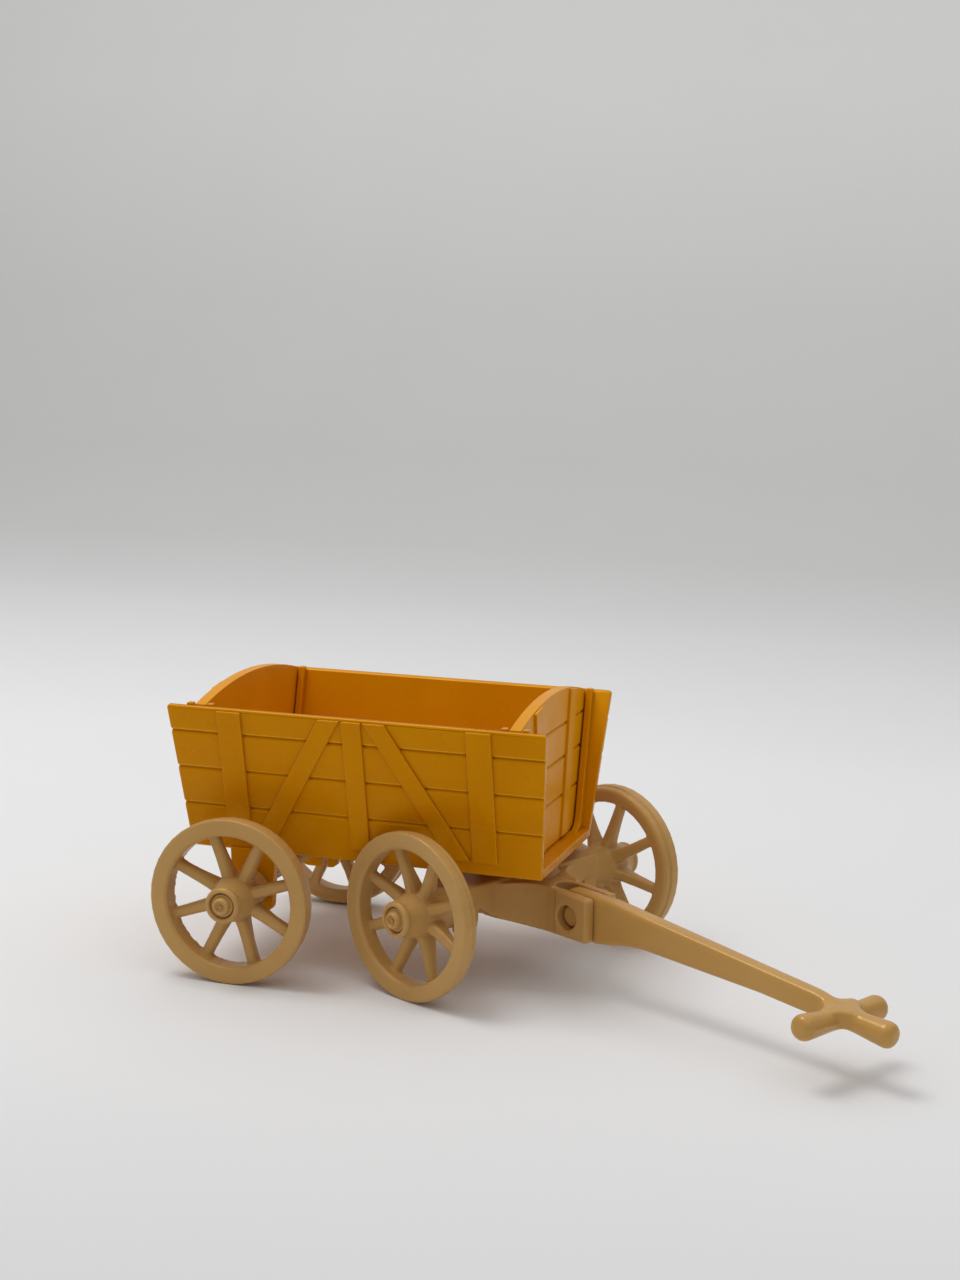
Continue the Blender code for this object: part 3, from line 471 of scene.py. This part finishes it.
# The bogie: the same resin, slightly redder, with painted shade where beam, neck and fork meet.
BOGIE_RESIN = MouldedPlastic(
    name="tan_resin_injection_moulded_bogie",
    colour="#C19354", clouded="#B68748", painted_crease_shade="#704A1F", speck="#8E6836",
    roughness=0.33, specular_tint="#FFE0B0", cloud_size=12.0, painted_shade_strength=0.5)

# The drawbar: the same resin, a touch more golden and rubbed smoother by hands.
DRAWBAR_RESIN = MouldedPlastic(
    name="tan_resin_injection_moulded_drawbar",
    colour="#C3954F", clouded="#BA8A46", painted_crease_shade="#7A5122", speck="#94703C",
    roughness=0.2, specular_tint="#FFE4B8", cloud_size=15.0, painted_shade_strength=0.5, ior=1.6)

# The sweep: white uncoated paper with painted light and shade along it, darker towards the front
# and in the bend behind the cart, lighter near the cart and high up.
SWEEP_PAPER = MattePaper(name="white_paper_uncoated_sweep", painted_light_grading=(
    (-700.0, "#D6D6D6"), (-200.0, "#DADADA"), (-80.0, "#EAEAEA"), (150.0, "#EDEDED"),
    (380.0, "#E2E2E2"), (520.0, "#D3D3D2"), (640.0, "#D2D2D1"), (823.0, "#DADAD9"),
    (1035.0, "#ECECEA"), (1700.0, "#ECECEA")))


def deselect() -> None:
    """Goes back to object mode with nothing selected."""
    if bpy.context.object and bpy.context.object.mode != "OBJECT":
        bpy.ops.object.mode_set(mode="OBJECT")
    bpy.ops.object.select_all(action="DESELECT")


def activate(piece: Piece) -> None:
    """Selects one object alone and makes it active.

    Args:
        piece: the object.
    """
    deselect()
    piece.select_set(True)
    bpy.context.view_layer.objects.active = piece


def apply_modifier(piece: Piece, kind: str, **settings: object) -> None:
    """Adds a modifier with its settings and applies it.

    Args:
        piece: the object to change.
        kind: the modifier's type name.
        settings: the modifier's properties.
    """
    modifier = piece.modifiers.new(kind.title(), kind)
    for name, value in settings.items():
        setattr(modifier, name, value)
    activate(piece)
    bpy.ops.object.modifier_apply(modifier=modifier.name)


def outer_edges(mesh: bpy.types.Mesh, least_angle: float) -> list[int]:
    """Finds the edges that stick out by more than an angle, leaving out those of hollows.

    Args:
        mesh: a closed mesh.
        least_angle: the smallest angle between an edge's two faces, in radians.

    Returns:
        The numbers of the edges.
    """
    sides: dict[tuple[int, int], list[tuple[Vector, Vector]]] = {}
    for face in mesh.polygons:
        corners = list(face.vertices)
        for start, end in zip(corners, corners[1:] + corners[:1]):
            along = mesh.vertices[end].co - mesh.vertices[start].co
            inward = face.normal.cross(along)
            ends = (min(start, end), max(start, end))
            sides.setdefault(ends, []).append((face.normal.copy(), inward))
    found = []
    for edge in mesh.edges:
        pair = sides.get(tuple(sorted(edge.vertices)), [])
        if len(pair) == 2 and pair[0][0].angle(pair[1][0], 0.0) > least_angle:
            if pair[0][0].dot(pair[1][1]) < 0.0:
                found.append(edge.index)
    return found


def select_faces(piece: Piece, wanted: Callable[[Vector, Vector], bool]) -> None:
    """Enters edit mode with just those faces selected that pass a test.

    Args:
        piece: the object.
        wanted: the test, given a face's middle and its normal.
    """
    activate(piece)
    bpy.ops.object.mode_set(mode="EDIT")
    bpy.ops.mesh.select_mode(type="FACE")
    bpy.ops.mesh.select_all(action="DESELECT")
    bpy.ops.object.mode_set(mode="OBJECT")
    for face in piece.data.polygons:
        face.select = wanted(face.center, face.normal)
    bpy.ops.object.mode_set(mode="EDIT")


@dataclass
class Moulding:
    """One moulded piece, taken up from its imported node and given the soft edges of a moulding.

    Attributes:
        node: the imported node's name.
        merge: how near two points lie that become one.
        grain: the voxel size of an even remesh; 0 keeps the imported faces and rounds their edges.
        flow_steps: the smoothing steps after a remesh.
        seams: heights of the plank seams above the floor.
        seam_half_width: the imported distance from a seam's middle to each of its lips.
        seam_sink: how far a seam's bottom moves in, along the cart and across it.
        wall_lean: how far the planked walls lean out for each millimetre of height.
    """

    node: str
    body: Body
    slot: Slot
    finish: MouldedPlastic
    merge: float = 0.05
    flat_degrees: float = 1.0
    edge_round: float = 0.18
    edge_segments: int = 2
    edge_degrees: float = 50.0
    smooth_degrees: float = 40.0
    flat_weight: int = 60
    grain: float = 0.0
    flow_steps: int = 2
    seams: tuple[float, ...] = ()
    seam_half_width: float = 0.3
    seam_widening: float = 0.12
    seam_sink: Span = (0.0, 0.0)
    seam_slack: float = 0.03
    wall_lean: float = 0.0
    piece: Optional[Piece] = field(default=None, init=False)

    def build(self, nodes: dict) -> Piece:
        """Makes the piece's mesh.

        Args:
            nodes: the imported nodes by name.

        Returns:
            The finished piece, riding on its body.
        """
        self.piece = self._take_up(nodes[self.node])
        self._widen_seams()
        self.shape()
        if self.grain:
            self._flow()
        else:
            self._soften()
        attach(self.piece, self.body.value)
        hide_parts(self.node)
        return self.piece

    def shape(self) -> None:
        """Changes the bare mesh before its edges are softened. A plain moulding needs nothing."""

    def dress(self, material: bpy.types.Material) -> None:
        """Puts a material on the whole piece."""
        self.piece.data.materials.clear()
        self.piece.data.materials.append(material)

    def _take_up(self, node: Piece) -> Piece:
        """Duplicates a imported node, welds its loose triangles and clears the edges inside flat faces.

        Args:
            node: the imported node, which stays as it is.

        Returns:
            The duplicate.
        """
        activate(node)
        bpy.ops.object.duplicate()
        piece = bpy.context.object
        for key in list(piece.keys()):
            del piece[key]
        piece.parent = None
        piece.name = self.node + "_moulding"
        piece.data.name = piece.name
        bpy.ops.object.mode_set(mode="EDIT")
        bpy.ops.mesh.customdata_custom_splitnormals_clear()
        bpy.ops.mesh.select_all(action="SELECT")
        bpy.ops.mesh.remove_doubles(threshold=self.merge * MM)
        bpy.ops.mesh.dissolve_limited(angle_limit=math.radians(self.flat_degrees))
        bpy.ops.object.mode_set(mode="OBJECT")
        return piece

    def _widen_seams(self) -> None:
        """Draws the lips of the plank seams apart along the planks' faces and sinks their bottoms."""
        for vertex in self.piece.data.vertices:
            height = vertex.co.z / MM + FLOOR_DROP
            for seam in self.seams:
                off = height - seam
                if abs(off) < self.seam_slack:
                    vertex.co.x -= math.copysign(self.seam_sink[0], vertex.co.x) * MM
                    vertex.co.y -= math.copysign(self.seam_sink[1], vertex.co.y) * MM
                if abs(abs(off) - self.seam_half_width) < self.seam_slack:
                    rise = math.copysign(self.seam_widening, off) * MM
                    vertex.co.z += rise
                    vertex.co.y += math.copysign(self.wall_lean, vertex.co.y) * rise

    def _flow(self) -> None:
        """Remeshes the piece evenly and lets its edges and hollows run soft, as in a cast form."""
        apply_modifier(self.piece, "REMESH", mode="VOXEL", voxel_size=self.grain * MM, adaptivity=0.0)
        apply_modifier(self.piece, "SMOOTH", factor=SMOOTH_SHARE, iterations=self.flow_steps)
        activate(self.piece)
        bpy.ops.object.shade_smooth()

    def _soften(self) -> None:
        """Rounds the edges that stick out and keeps the flat faces flat under smooth shading."""
        mesh = self.piece.data
        weight = mesh.attributes.new("bevel_weight_edge", "FLOAT", "EDGE")
        for index in outer_edges(mesh, math.radians(self.edge_degrees)):
            weight.data[index].value = 1.0
        apply_modifier(
            self.piece, "BEVEL", width=self.edge_round * MM, segments=self.edge_segments,
            limit_method="WEIGHT", use_clamp_overlap=False, miter_outer="MITER_ARC")
        activate(self.piece)
        bpy.ops.object.shade_smooth_by_angle(angle=math.radians(self.smooth_degrees))
        apply_modifier(self.piece, "WEIGHTED_NORMAL", keep_sharp=True, weight=self.flat_weight)


@dataclass
class CartBox(Moulding):
    """The planked box: its walls' upper corners are rounded as well as its edges.

    Attributes:
        corner_round: the radius of the walls' upper corners.
        corner_cuts: the slopes, in degrees, of the flat cuts that make up a corner's round.
        rib_top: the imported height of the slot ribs' ends above the load bed.
        rib_rise: how far they are drawn up past it.
        upward: least vertical part of a normal that points up.
    """

    edge_round: float = 0.22
    seams: tuple[float, ...] = (29.9, 36.9, 43.85)
    seam_sink: Span = (0.0, 0.15)
    wall_lean: float = 0.244
    half_length: float = 35.25
    wall_top: float = 48.7 - FLOOR_DROP
    corner_round: float = 0.8
    corner_cuts: tuple[float, ...] = (22.5, 45.0, 67.5)
    rib_top: float = 48.4 - FLOOR_DROP
    rib_rise: float = 0.65
    rib_slack: float = 0.05
    upward: float = 0.95

    def shape(self) -> None:
        """Lets the slot ribs end above the walls and cuts the walls' four upper corners round."""
        select_faces(self.piece, lambda middle, normal: (
            normal.z > self.upward and abs(middle.z - self.rib_top * MM) < self.rib_slack * MM))
        rise = (0.0, 0.0, self.rib_rise * MM)
        bpy.ops.mesh.extrude_region_move(TRANSFORM_OT_translate={"value": rise})
        bpy.ops.object.mode_set(mode="OBJECT")
        activate(self.piece)
        bpy.ops.object.mode_set(mode="EDIT")
        for end in (-1.0, 1.0):
            centre = Vector((end * (self.half_length - self.corner_round), 0.0,
                             self.wall_top - self.corner_round)) * MM
            for degrees in self.corner_cuts:
                angle = math.radians(degrees)
                normal = Vector((end * math.cos(angle), 0.0, math.sin(angle)))
                bpy.ops.mesh.select_all(action="SELECT")
                bpy.ops.mesh.bisect(
                    plane_co=centre + normal * self.corner_round * MM, plane_no=normal,
                    use_fill=True, clear_outer=True)
        bpy.ops.object.mode_set(mode="OBJECT")


@dataclass
class EndBoard(Moulding):
    """An arched end board: thin, so its edges are rounded less than those of the box."""

    edge_round: float = 0.12
    seams: tuple[float, ...] = (31.5, 38.6, 44.8)
    seam_sink: Span = (0.12, 0.0)


@dataclass
class Bogie(Moulding):
    """The steered bogie: beam, neck and fork run into each other as in a cast form."""

    grain: float = 0.2


@dataclass
class Wheel(Moulding):
    """A spoked wheel: its tread is grooved, its rim's outer edge tight and its hub's mouth flared.

    Attributes:
        middle: the middle of its axle.
        outward: the way from there to the wheel's outer face.
        rim_face: how far out the rim's outer face lies, as hub_face for the hub's.
        packed_round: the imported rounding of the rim's outer edge, as rim_round for the finished one.
        step_depth: how far behind the rim's face the tread's step lies.
        rim_depth: how far behind it the rim's inner side lies.
        inner_reach: how far that side is moved on towards the cart.
        spoke_reach: how far from the axle everything belongs to the rim.
    """

    merge: float = 0.09
    grain: float = 0.19
    flow_steps: int = 3
    middle: Spot = REAR_AXLE
    outward: Spot = TO_LEFT
    radius: float = 15.0
    rim_face: float = 28.5
    packed_round: float = 0.75
    rim_round: float = 0.35
    round_slack: float = 0.02
    face_slack: float = 0.1
    step_depth: float = 2.1
    step_radius: float = 14.8
    step_slack: float = 0.03
    step_radius_slack: float = 0.1
    groove_depth: float = 0.45
    groove_width: float = 0.55
    rim_depth: float = 3.15
    rim_slack: float = 0.4
    inner_reach: float = 0.0
    spoke_reach: float = 11.0
    hub_face: float = 31.0
    hub_slack: float = 0.05
    recess_radius: float = 2.1
    recess_slack: float = 0.15
    recess_flare: float = 0.3

    def shape(self) -> None:
        """Tightens and deepens the rim, flares the hub's mouth and sinks the parting groove."""
        self._draw_rim_out()
        self._deepen_rim()
        self._sink_groove()

    def _placed(self, spot: Vector) -> tuple[float, Vector]:
        """Tells where a spot of the wheel lies from the middle of its axle.

        Args:
            spot: the spot, in metres.

        Returns:
            How far out it lies along the axle, and its arm from the axle's line.
        """
        axis = Vector(self.outward)
        arm = spot - Vector(self.middle) * MM
        along = arm.dot(axis)
        return along, arm - axis * along

    def _draw_rim_out(self) -> None:
        """Draws the rounding of the rim's outer edge towards its corner."""
        axis = Vector(self.outward)
        centre = Vector(self.middle) * MM
        kept = self.rim_round / self.packed_round
        for vertex in self.piece.data.vertices:
            along, across = self._placed(vertex.co)
            from_face = self.rim_face * MM - along
            from_tread = self.radius * MM - across.length
            in_round = max(from_face, from_tread) < (self.packed_round + self.round_slack) * MM
            if in_round and from_face > -self.face_slack * MM:
                new_along = self.rim_face * MM - from_face * kept
                new_reach = self.radius * MM - from_tread * kept
                vertex.co = centre + axis * new_along + across.normalized() * new_reach

    def _deepen_rim(self) -> None:
        """Moves the rim's inner side towards the cart and flares the mouth of the hub's recess."""
        axis = Vector(self.outward)
        inner_side = (self.rim_face - self.rim_depth) * MM
        for vertex in self.piece.data.vertices:
            along, across = self._placed(vertex.co)
            if abs(along - inner_side) < self.rim_slack * MM and across.length > self.spoke_reach * MM:
                vertex.co -= axis * self.inner_reach * MM
            at_face = abs(along - self.hub_face * MM) < self.hub_slack * MM
            if at_face and abs(across.length - self.recess_radius * MM) < self.recess_slack * MM:
                vertex.co += across.normalized() * self.recess_flare * MM

    def _sink_groove(self) -> None:
        """Cuts the tread behind its step and draws the step's foot in to a parting groove."""
        axis = Vector(self.outward)
        centre = Vector(self.middle) * MM
        far_side = centre + axis * (self.rim_face - self.step_depth - self.groove_width) * MM
        activate(self.piece)
        bpy.ops.object.mode_set(mode="EDIT")
        bpy.ops.mesh.select_all(action="SELECT")
        bpy.ops.mesh.bisect(plane_co=far_side, plane_no=axis)
        bpy.ops.object.mode_set(mode="OBJECT")
        for vertex in self.piece.data.vertices:
            along, across = self._placed(vertex.co)
            at_step = abs(along - (self.rim_face - self.step_depth) * MM) < self.step_slack * MM
            if at_step and abs(across.length - self.step_radius * MM) < self.step_radius_slack * MM:
                vertex.co -= across.normalized() * self.groove_depth * MM


@dataclass
class Axle(Moulding):
    """An axle pin: each head has a foot, a raised ring, a shallow dish and a gate mark in its middle.

    Attributes:
        head_cut: how far out from the axle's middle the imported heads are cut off.
        head_radius: the head's radius at the cut.
        head_profile: distance out and radius of each further ring of the new head.
    """

    edge_round: float = 0.06
    edge_degrees: float = 60.0
    middle: Spot = REAR_AXLE
    along: Spot = TO_LEFT
    head_cut: float = 30.4
    cut_slack: float = 0.01
    head_radius: float = 1.65
    head_profile: tuple[Span, ...] = (
        (30.41, 2.02), (30.50, 2.09), (30.56, 2.09), (30.62, 1.66), (31.24, 1.50), (31.52, 1.42),
        (31.68, 1.28), (31.73, 1.12), (31.60, 0.94), (31.28, 0.76), (31.22, 0.38), (31.40, 0.27))

    def shape(self) -> None:
        """Cuts both plain heads off and models the ringed heads in their place."""
        for side in (-1.0, 1.0):
            outward = Vector(self.along) * side
            place = Vector(self.middle) * MM + outward * self.head_cut * MM
            activate(self.piece)
            bpy.ops.object.mode_set(mode="EDIT")
            bpy.ops.mesh.select_all(action="SELECT")
            bpy.ops.mesh.bisect(plane_co=place, plane_no=outward, use_fill=True, clear_outer=True)
            select_faces(self.piece, lambda middle, normal: (
                normal.dot(outward) > FACING
                and abs((middle - place).dot(outward)) < self.cut_slack * MM))
            self._model_head(outward)
            bpy.ops.object.mode_set(mode="OBJECT")

    def _model_head(self, outward: Vector) -> None:
        """Extrudes the selected cut ring by ring along the head's profile.

        Args:
            outward: the way out along the axle.
        """
        at = self.head_cut
        radius = self.head_radius
        for distance, new_radius in self.head_profile:
            bpy.ops.mesh.extrude_region_move(
                TRANSFORM_OT_translate={"value": outward * (distance - at) * MM})
            centre = Vector(self.middle) * MM + outward * distance * MM
            bpy.ops.transform.resize(value=(new_radius / radius,) * 3, center_override=centre)
            at = distance
            radius = new_radius


@dataclass
class Drawbar(Moulding):
    """The drawbar: the ends of its trunnions lie well inside the holes of the fork.

    Attributes:
        hinge: the middle of the hinge, as hinge_along for its way.
        sink: how far the trunnions' ends are moved in.
        cross: the place where grip and bar cross.
        cross_reach: how far from there the extra smoothing reaches.
        cross_fade: how steeply it falls off at the end of that reach.
    """

    grain: float = 0.2
    flow_steps: int = 10
    hinge: Spot = (38.1153, -7.0992, -9.6)
    hinge_along: Spot = (0.481754, 0.876307, 0.0)
    trunnion_half_length: float = 3.15
    trunnion_slack: float = 1.0
    sink: float = 0.5
    cross: Spot = (87.6, -34.2, -14.3)
    cross_reach: float = 7.5
    cross_fade: float = 2.5
    cross_steps: int = 26

    def _flow(self) -> None:
        """Lets the edges run soft, most of all where grip and bar cross."""
        super()._flow()
        grip = self.piece.vertex_groups.new(name="grip")
        cross = Vector(self.cross) * MM
        for vertex in self.piece.data.vertices:
            away = (vertex.co - cross).length / (self.cross_reach * MM)
            if away < 1.0:
                grip.add([vertex.index], min(1.0, self.cross_fade * (1.0 - away)), "REPLACE")
        apply_modifier(self.piece, "SMOOTH", factor=SMOOTH_SHARE, iterations=self.cross_steps,
                       vertex_group="grip")
        self.piece.vertex_groups.clear()

    def shape(self) -> None:
        """Moves both end faces of the trunnions in."""
        for side in (-1.0, 1.0):
            outward = Vector(self.hinge_along) * side
            place = Vector(self.hinge) * MM + outward * self.trunnion_half_length * MM
            select_faces(self.piece, lambda middle, normal: (
                normal.dot(outward) > FACING
                and (middle - place).length < self.trunnion_slack * MM))
            bpy.ops.transform.translate(value=-outward * self.sink * MM)
            bpy.ops.object.mode_set(mode="OBJECT")


@dataclass
class PaperSweep:
    """A sheet of paper that lies under the cart and curves up behind it."""

    front: float = -700.0
    bend: float = 420.0
    bend_radius: float = 420.0
    width: float = 2600.0
    height: float = 900.0
    steps: int = 24
    edge_slack: float = 1.0

    def build(self) -> Piece:
        """Models the sheet.

        Returns:
            The sheet.
        """
        deselect()
        bpy.ops.mesh.primitive_plane_add(size=1.0, location=(0.0, 0.0, -FLOOR_DROP * MM))
        sheet = bpy.context.object
        sheet.name = "paper_sweep"
        length = self.bend - self.front
        sheet.scale = (self.width * MM, length * MM, 1.0)
        sheet.location.y = (self.front + length / 2.0) * MM
        bpy.ops.object.transform_apply(location=True, rotation=True, scale=True)
        bpy.ops.object.mode_set(mode="EDIT")
        back = (self.bend - self.edge_slack) * MM
        self._select_edges(sheet, lambda start, end: min(start.y, end.y) > back)
        step = math.pi / 2.0 / self.steps
        for index in range(self.steps):
            angle = step * (index + 0.5)
            chord = 2.0 * self.bend_radius * MM * math.sin(step / 2.0)
            move = (0.0, chord * math.cos(angle), chord * math.sin(angle))
            bpy.ops.mesh.extrude_region_move(TRANSFORM_OT_translate={"value": move})
        upright = (0.0, 0.0, self.height * MM)
        bpy.ops.mesh.extrude_region_move(TRANSFORM_OT_translate={"value": upright})
        bpy.ops.mesh.select_all(action="SELECT")
        bpy.ops.mesh.normals_make_consistent(inside=False)
        bpy.ops.object.mode_set(mode="OBJECT")
        bpy.ops.object.shade_smooth()
        sheet.data.materials.append(SWEEP_PAPER.build())
        return sheet

    @staticmethod
    def _select_edges(sheet: Piece, wanted: Callable[[Vector, Vector], bool]) -> None:
        """Selects just those edges that pass a test, and stays in edit mode.

        Args:
            sheet: the object.
            wanted: the test, given an edge's two ends.
        """
        bpy.ops.mesh.select_mode(type="EDGE")
        bpy.ops.mesh.select_all(action="DESELECT")
        bpy.ops.object.mode_set(mode="OBJECT")
        mesh = sheet.data
        for edge in mesh.edges:
            ends = [mesh.vertices[index].co for index in edge.vertices]
            edge.select = wanted(*ends)
        bpy.ops.object.mode_set(mode="EDIT")


@dataclass
class Studio:
    """A lit ceiling, a smaller and brighter panel below it, an even surround and the camera.

    Powers are in watts and turns in degrees; the camera's focal length and the frame's height are
    in pixels of one and the same picture.
    """

    panel_size: float = 300.0
    panel_place: Spot = (-230.0, -40.0, 660.0)
    panel_power: float = 1.65
    ceiling_size: float = 1500.0
    ceiling_place: Spot = (0.0, 50.0, 720.0)
    ceiling_power: float = 3.85
    world_colour: str = "#FBFBFC"
    world_strength: float = 0.365
    camera_place: Spot = (125.03, -346.46, 95.12)
    camera_yaw: float = 17.48
    camera_pitch: float = -9.07
    camera_roll: float = 1.21
    focal_pixels: float = 2034.7
    frame_height_pixels: float = 1280.0
    sensor_height: float = 36.0
    nearest: float = 10.0

    def build(self) -> None:
        """Sets up lamps, world and camera."""
        self._lamp("panel", self.panel_size, self.panel_place, self.panel_power)
        self._lamp("ceiling", self.ceiling_size, self.ceiling_place, self.ceiling_power)
        self._world()
        self._camera()
        bpy.context.scene.view_settings.view_transform = "Standard"

    def _lamp(self, name: str, size: float, place: Spot, power: float) -> None:
        """Hangs a square softbox that faces straight down.

        Args:
            name: the lamp's name.
            size: side length in millimetres.
            place: its middle in millimetres.
            power: radiant power in watts.
        """
        light = bpy.data.lights.new(name, "AREA")
        light.shape = "SQUARE"
        light.size = size * MM
        light.energy = power
        lamp = bpy.data.objects.new(name, light)
        lamp.location = Vector(place) * MM
        bpy.context.scene.collection.objects.link(lamp)

    def _world(self) -> None:
        """Makes an even pale surround."""
        world = bpy.data.worlds.new("pale_surround")
        world.use_nodes = True
        background = world.node_tree.nodes["Background"]
        background.inputs["Color"].default_value = linear(self.world_colour)
        background.inputs["Strength"].default_value = self.world_strength
        bpy.context.scene.world = world

    def _camera(self) -> None:
        """Puts the camera at the photographer's place, turned by yaw, pitch and roll."""
        yaw = math.radians(self.camera_yaw)
        pitch = math.radians(self.camera_pitch)
        roll = math.radians(self.camera_roll)
        ahead = math.cos(pitch)
        forward = Vector((-math.sin(yaw) * ahead, math.cos(yaw) * ahead, math.sin(pitch)))
        level = Vector((math.cos(yaw), math.sin(yaw), 0.0))
        upright = level.cross(forward)
        right = level * math.cos(roll) + upright * math.sin(roll)
        up = upright * math.cos(roll) - level * math.sin(roll)
        data = bpy.data.cameras.new("camera")
        data.sensor_fit = "VERTICAL"
        data.sensor_height = self.sensor_height
        data.lens = self.sensor_height * self.focal_pixels / self.frame_height_pixels
        data.clip_start = self.nearest * MM
        camera = bpy.data.objects.new("camera", data)
        bpy.context.scene.collection.objects.link(camera)
        turn = Matrix((right, up, -forward)).transposed().to_4x4()
        camera.matrix_world = Matrix.Translation(Vector(self.camera_place) * MM) @ turn
        bpy.context.scene.camera = camera


def mouldings() -> Sequence[Moulding]:
    """Lists the cart's pieces with their bodies and finishes.

    Returns:
        The mouldings in building order.
    """
    pieces: list[Moulding] = [
        CartBox("cart_box", Body.CART, Slot.BOX, BOX_ABS),
        EndBoard("front_end_board", Body.FRONT_BOARD, Slot.BOARD, BOARD_ABS),
        EndBoard("rear_end_board", Body.REAR_BOARD, Slot.BOARD, BOARD_ABS),
        Bogie("front_bogie", Body.BOGIE, Slot.BOGIE, BOGIE_RESIN),
        Drawbar("drawbar", Body.DRAWBAR, Slot.DRAWBAR, DRAWBAR_RESIN),
        Axle("rear_axle", Body.CART, Slot.AXLE, AXLE_RESIN, middle=REAR_AXLE, along=TO_LEFT),
        Axle("front_axle", Body.BOGIE, Slot.AXLE, AXLE_RESIN, middle=FRONT_AXLE, along=STEERED_TO_LEFT),
    ]
    # The rear rims are deeper; the front ones need the room to clear the box when they are steered.
    wheels = (
        (Body.REAR_RIGHT_WHEEL, REAR_AXLE, TO_RIGHT, 0.7),
        (Body.REAR_LEFT_WHEEL, REAR_AXLE, TO_LEFT, 0.7),
        (Body.FRONT_RIGHT_WHEEL, FRONT_AXLE, STEERED_TO_RIGHT, 0.0),
        (Body.FRONT_LEFT_WHEEL, FRONT_AXLE, STEERED_TO_LEFT, 0.0),
    )
    for body, middle, outward, reach in wheels:
        pieces.append(Wheel(body.value, body, Slot.WHEEL, WHEEL_RESIN,
                            middle=middle, outward=outward, inner_reach=reach))
    return pieces


def main() -> None:
    """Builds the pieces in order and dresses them."""
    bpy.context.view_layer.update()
    PaperSweep().build()
    Studio().build()
    finished: dict[str, bpy.types.Material] = {}
    for moulding in mouldings():
        piece = moulding.build(frame["nodes"])
        name = moulding.finish.name
        if name not in finished:
            finished[name] = moulding.finish.build()
        moulding.dress(finished[name])
        LOG.info("%s on %s: %d faces", piece.name, moulding.body.value, len(piece.data.polygons))


if __name__ == "__main__":
    logging.basicConfig(level=logging.INFO, format="%(name)s: %(message)s")
    main()
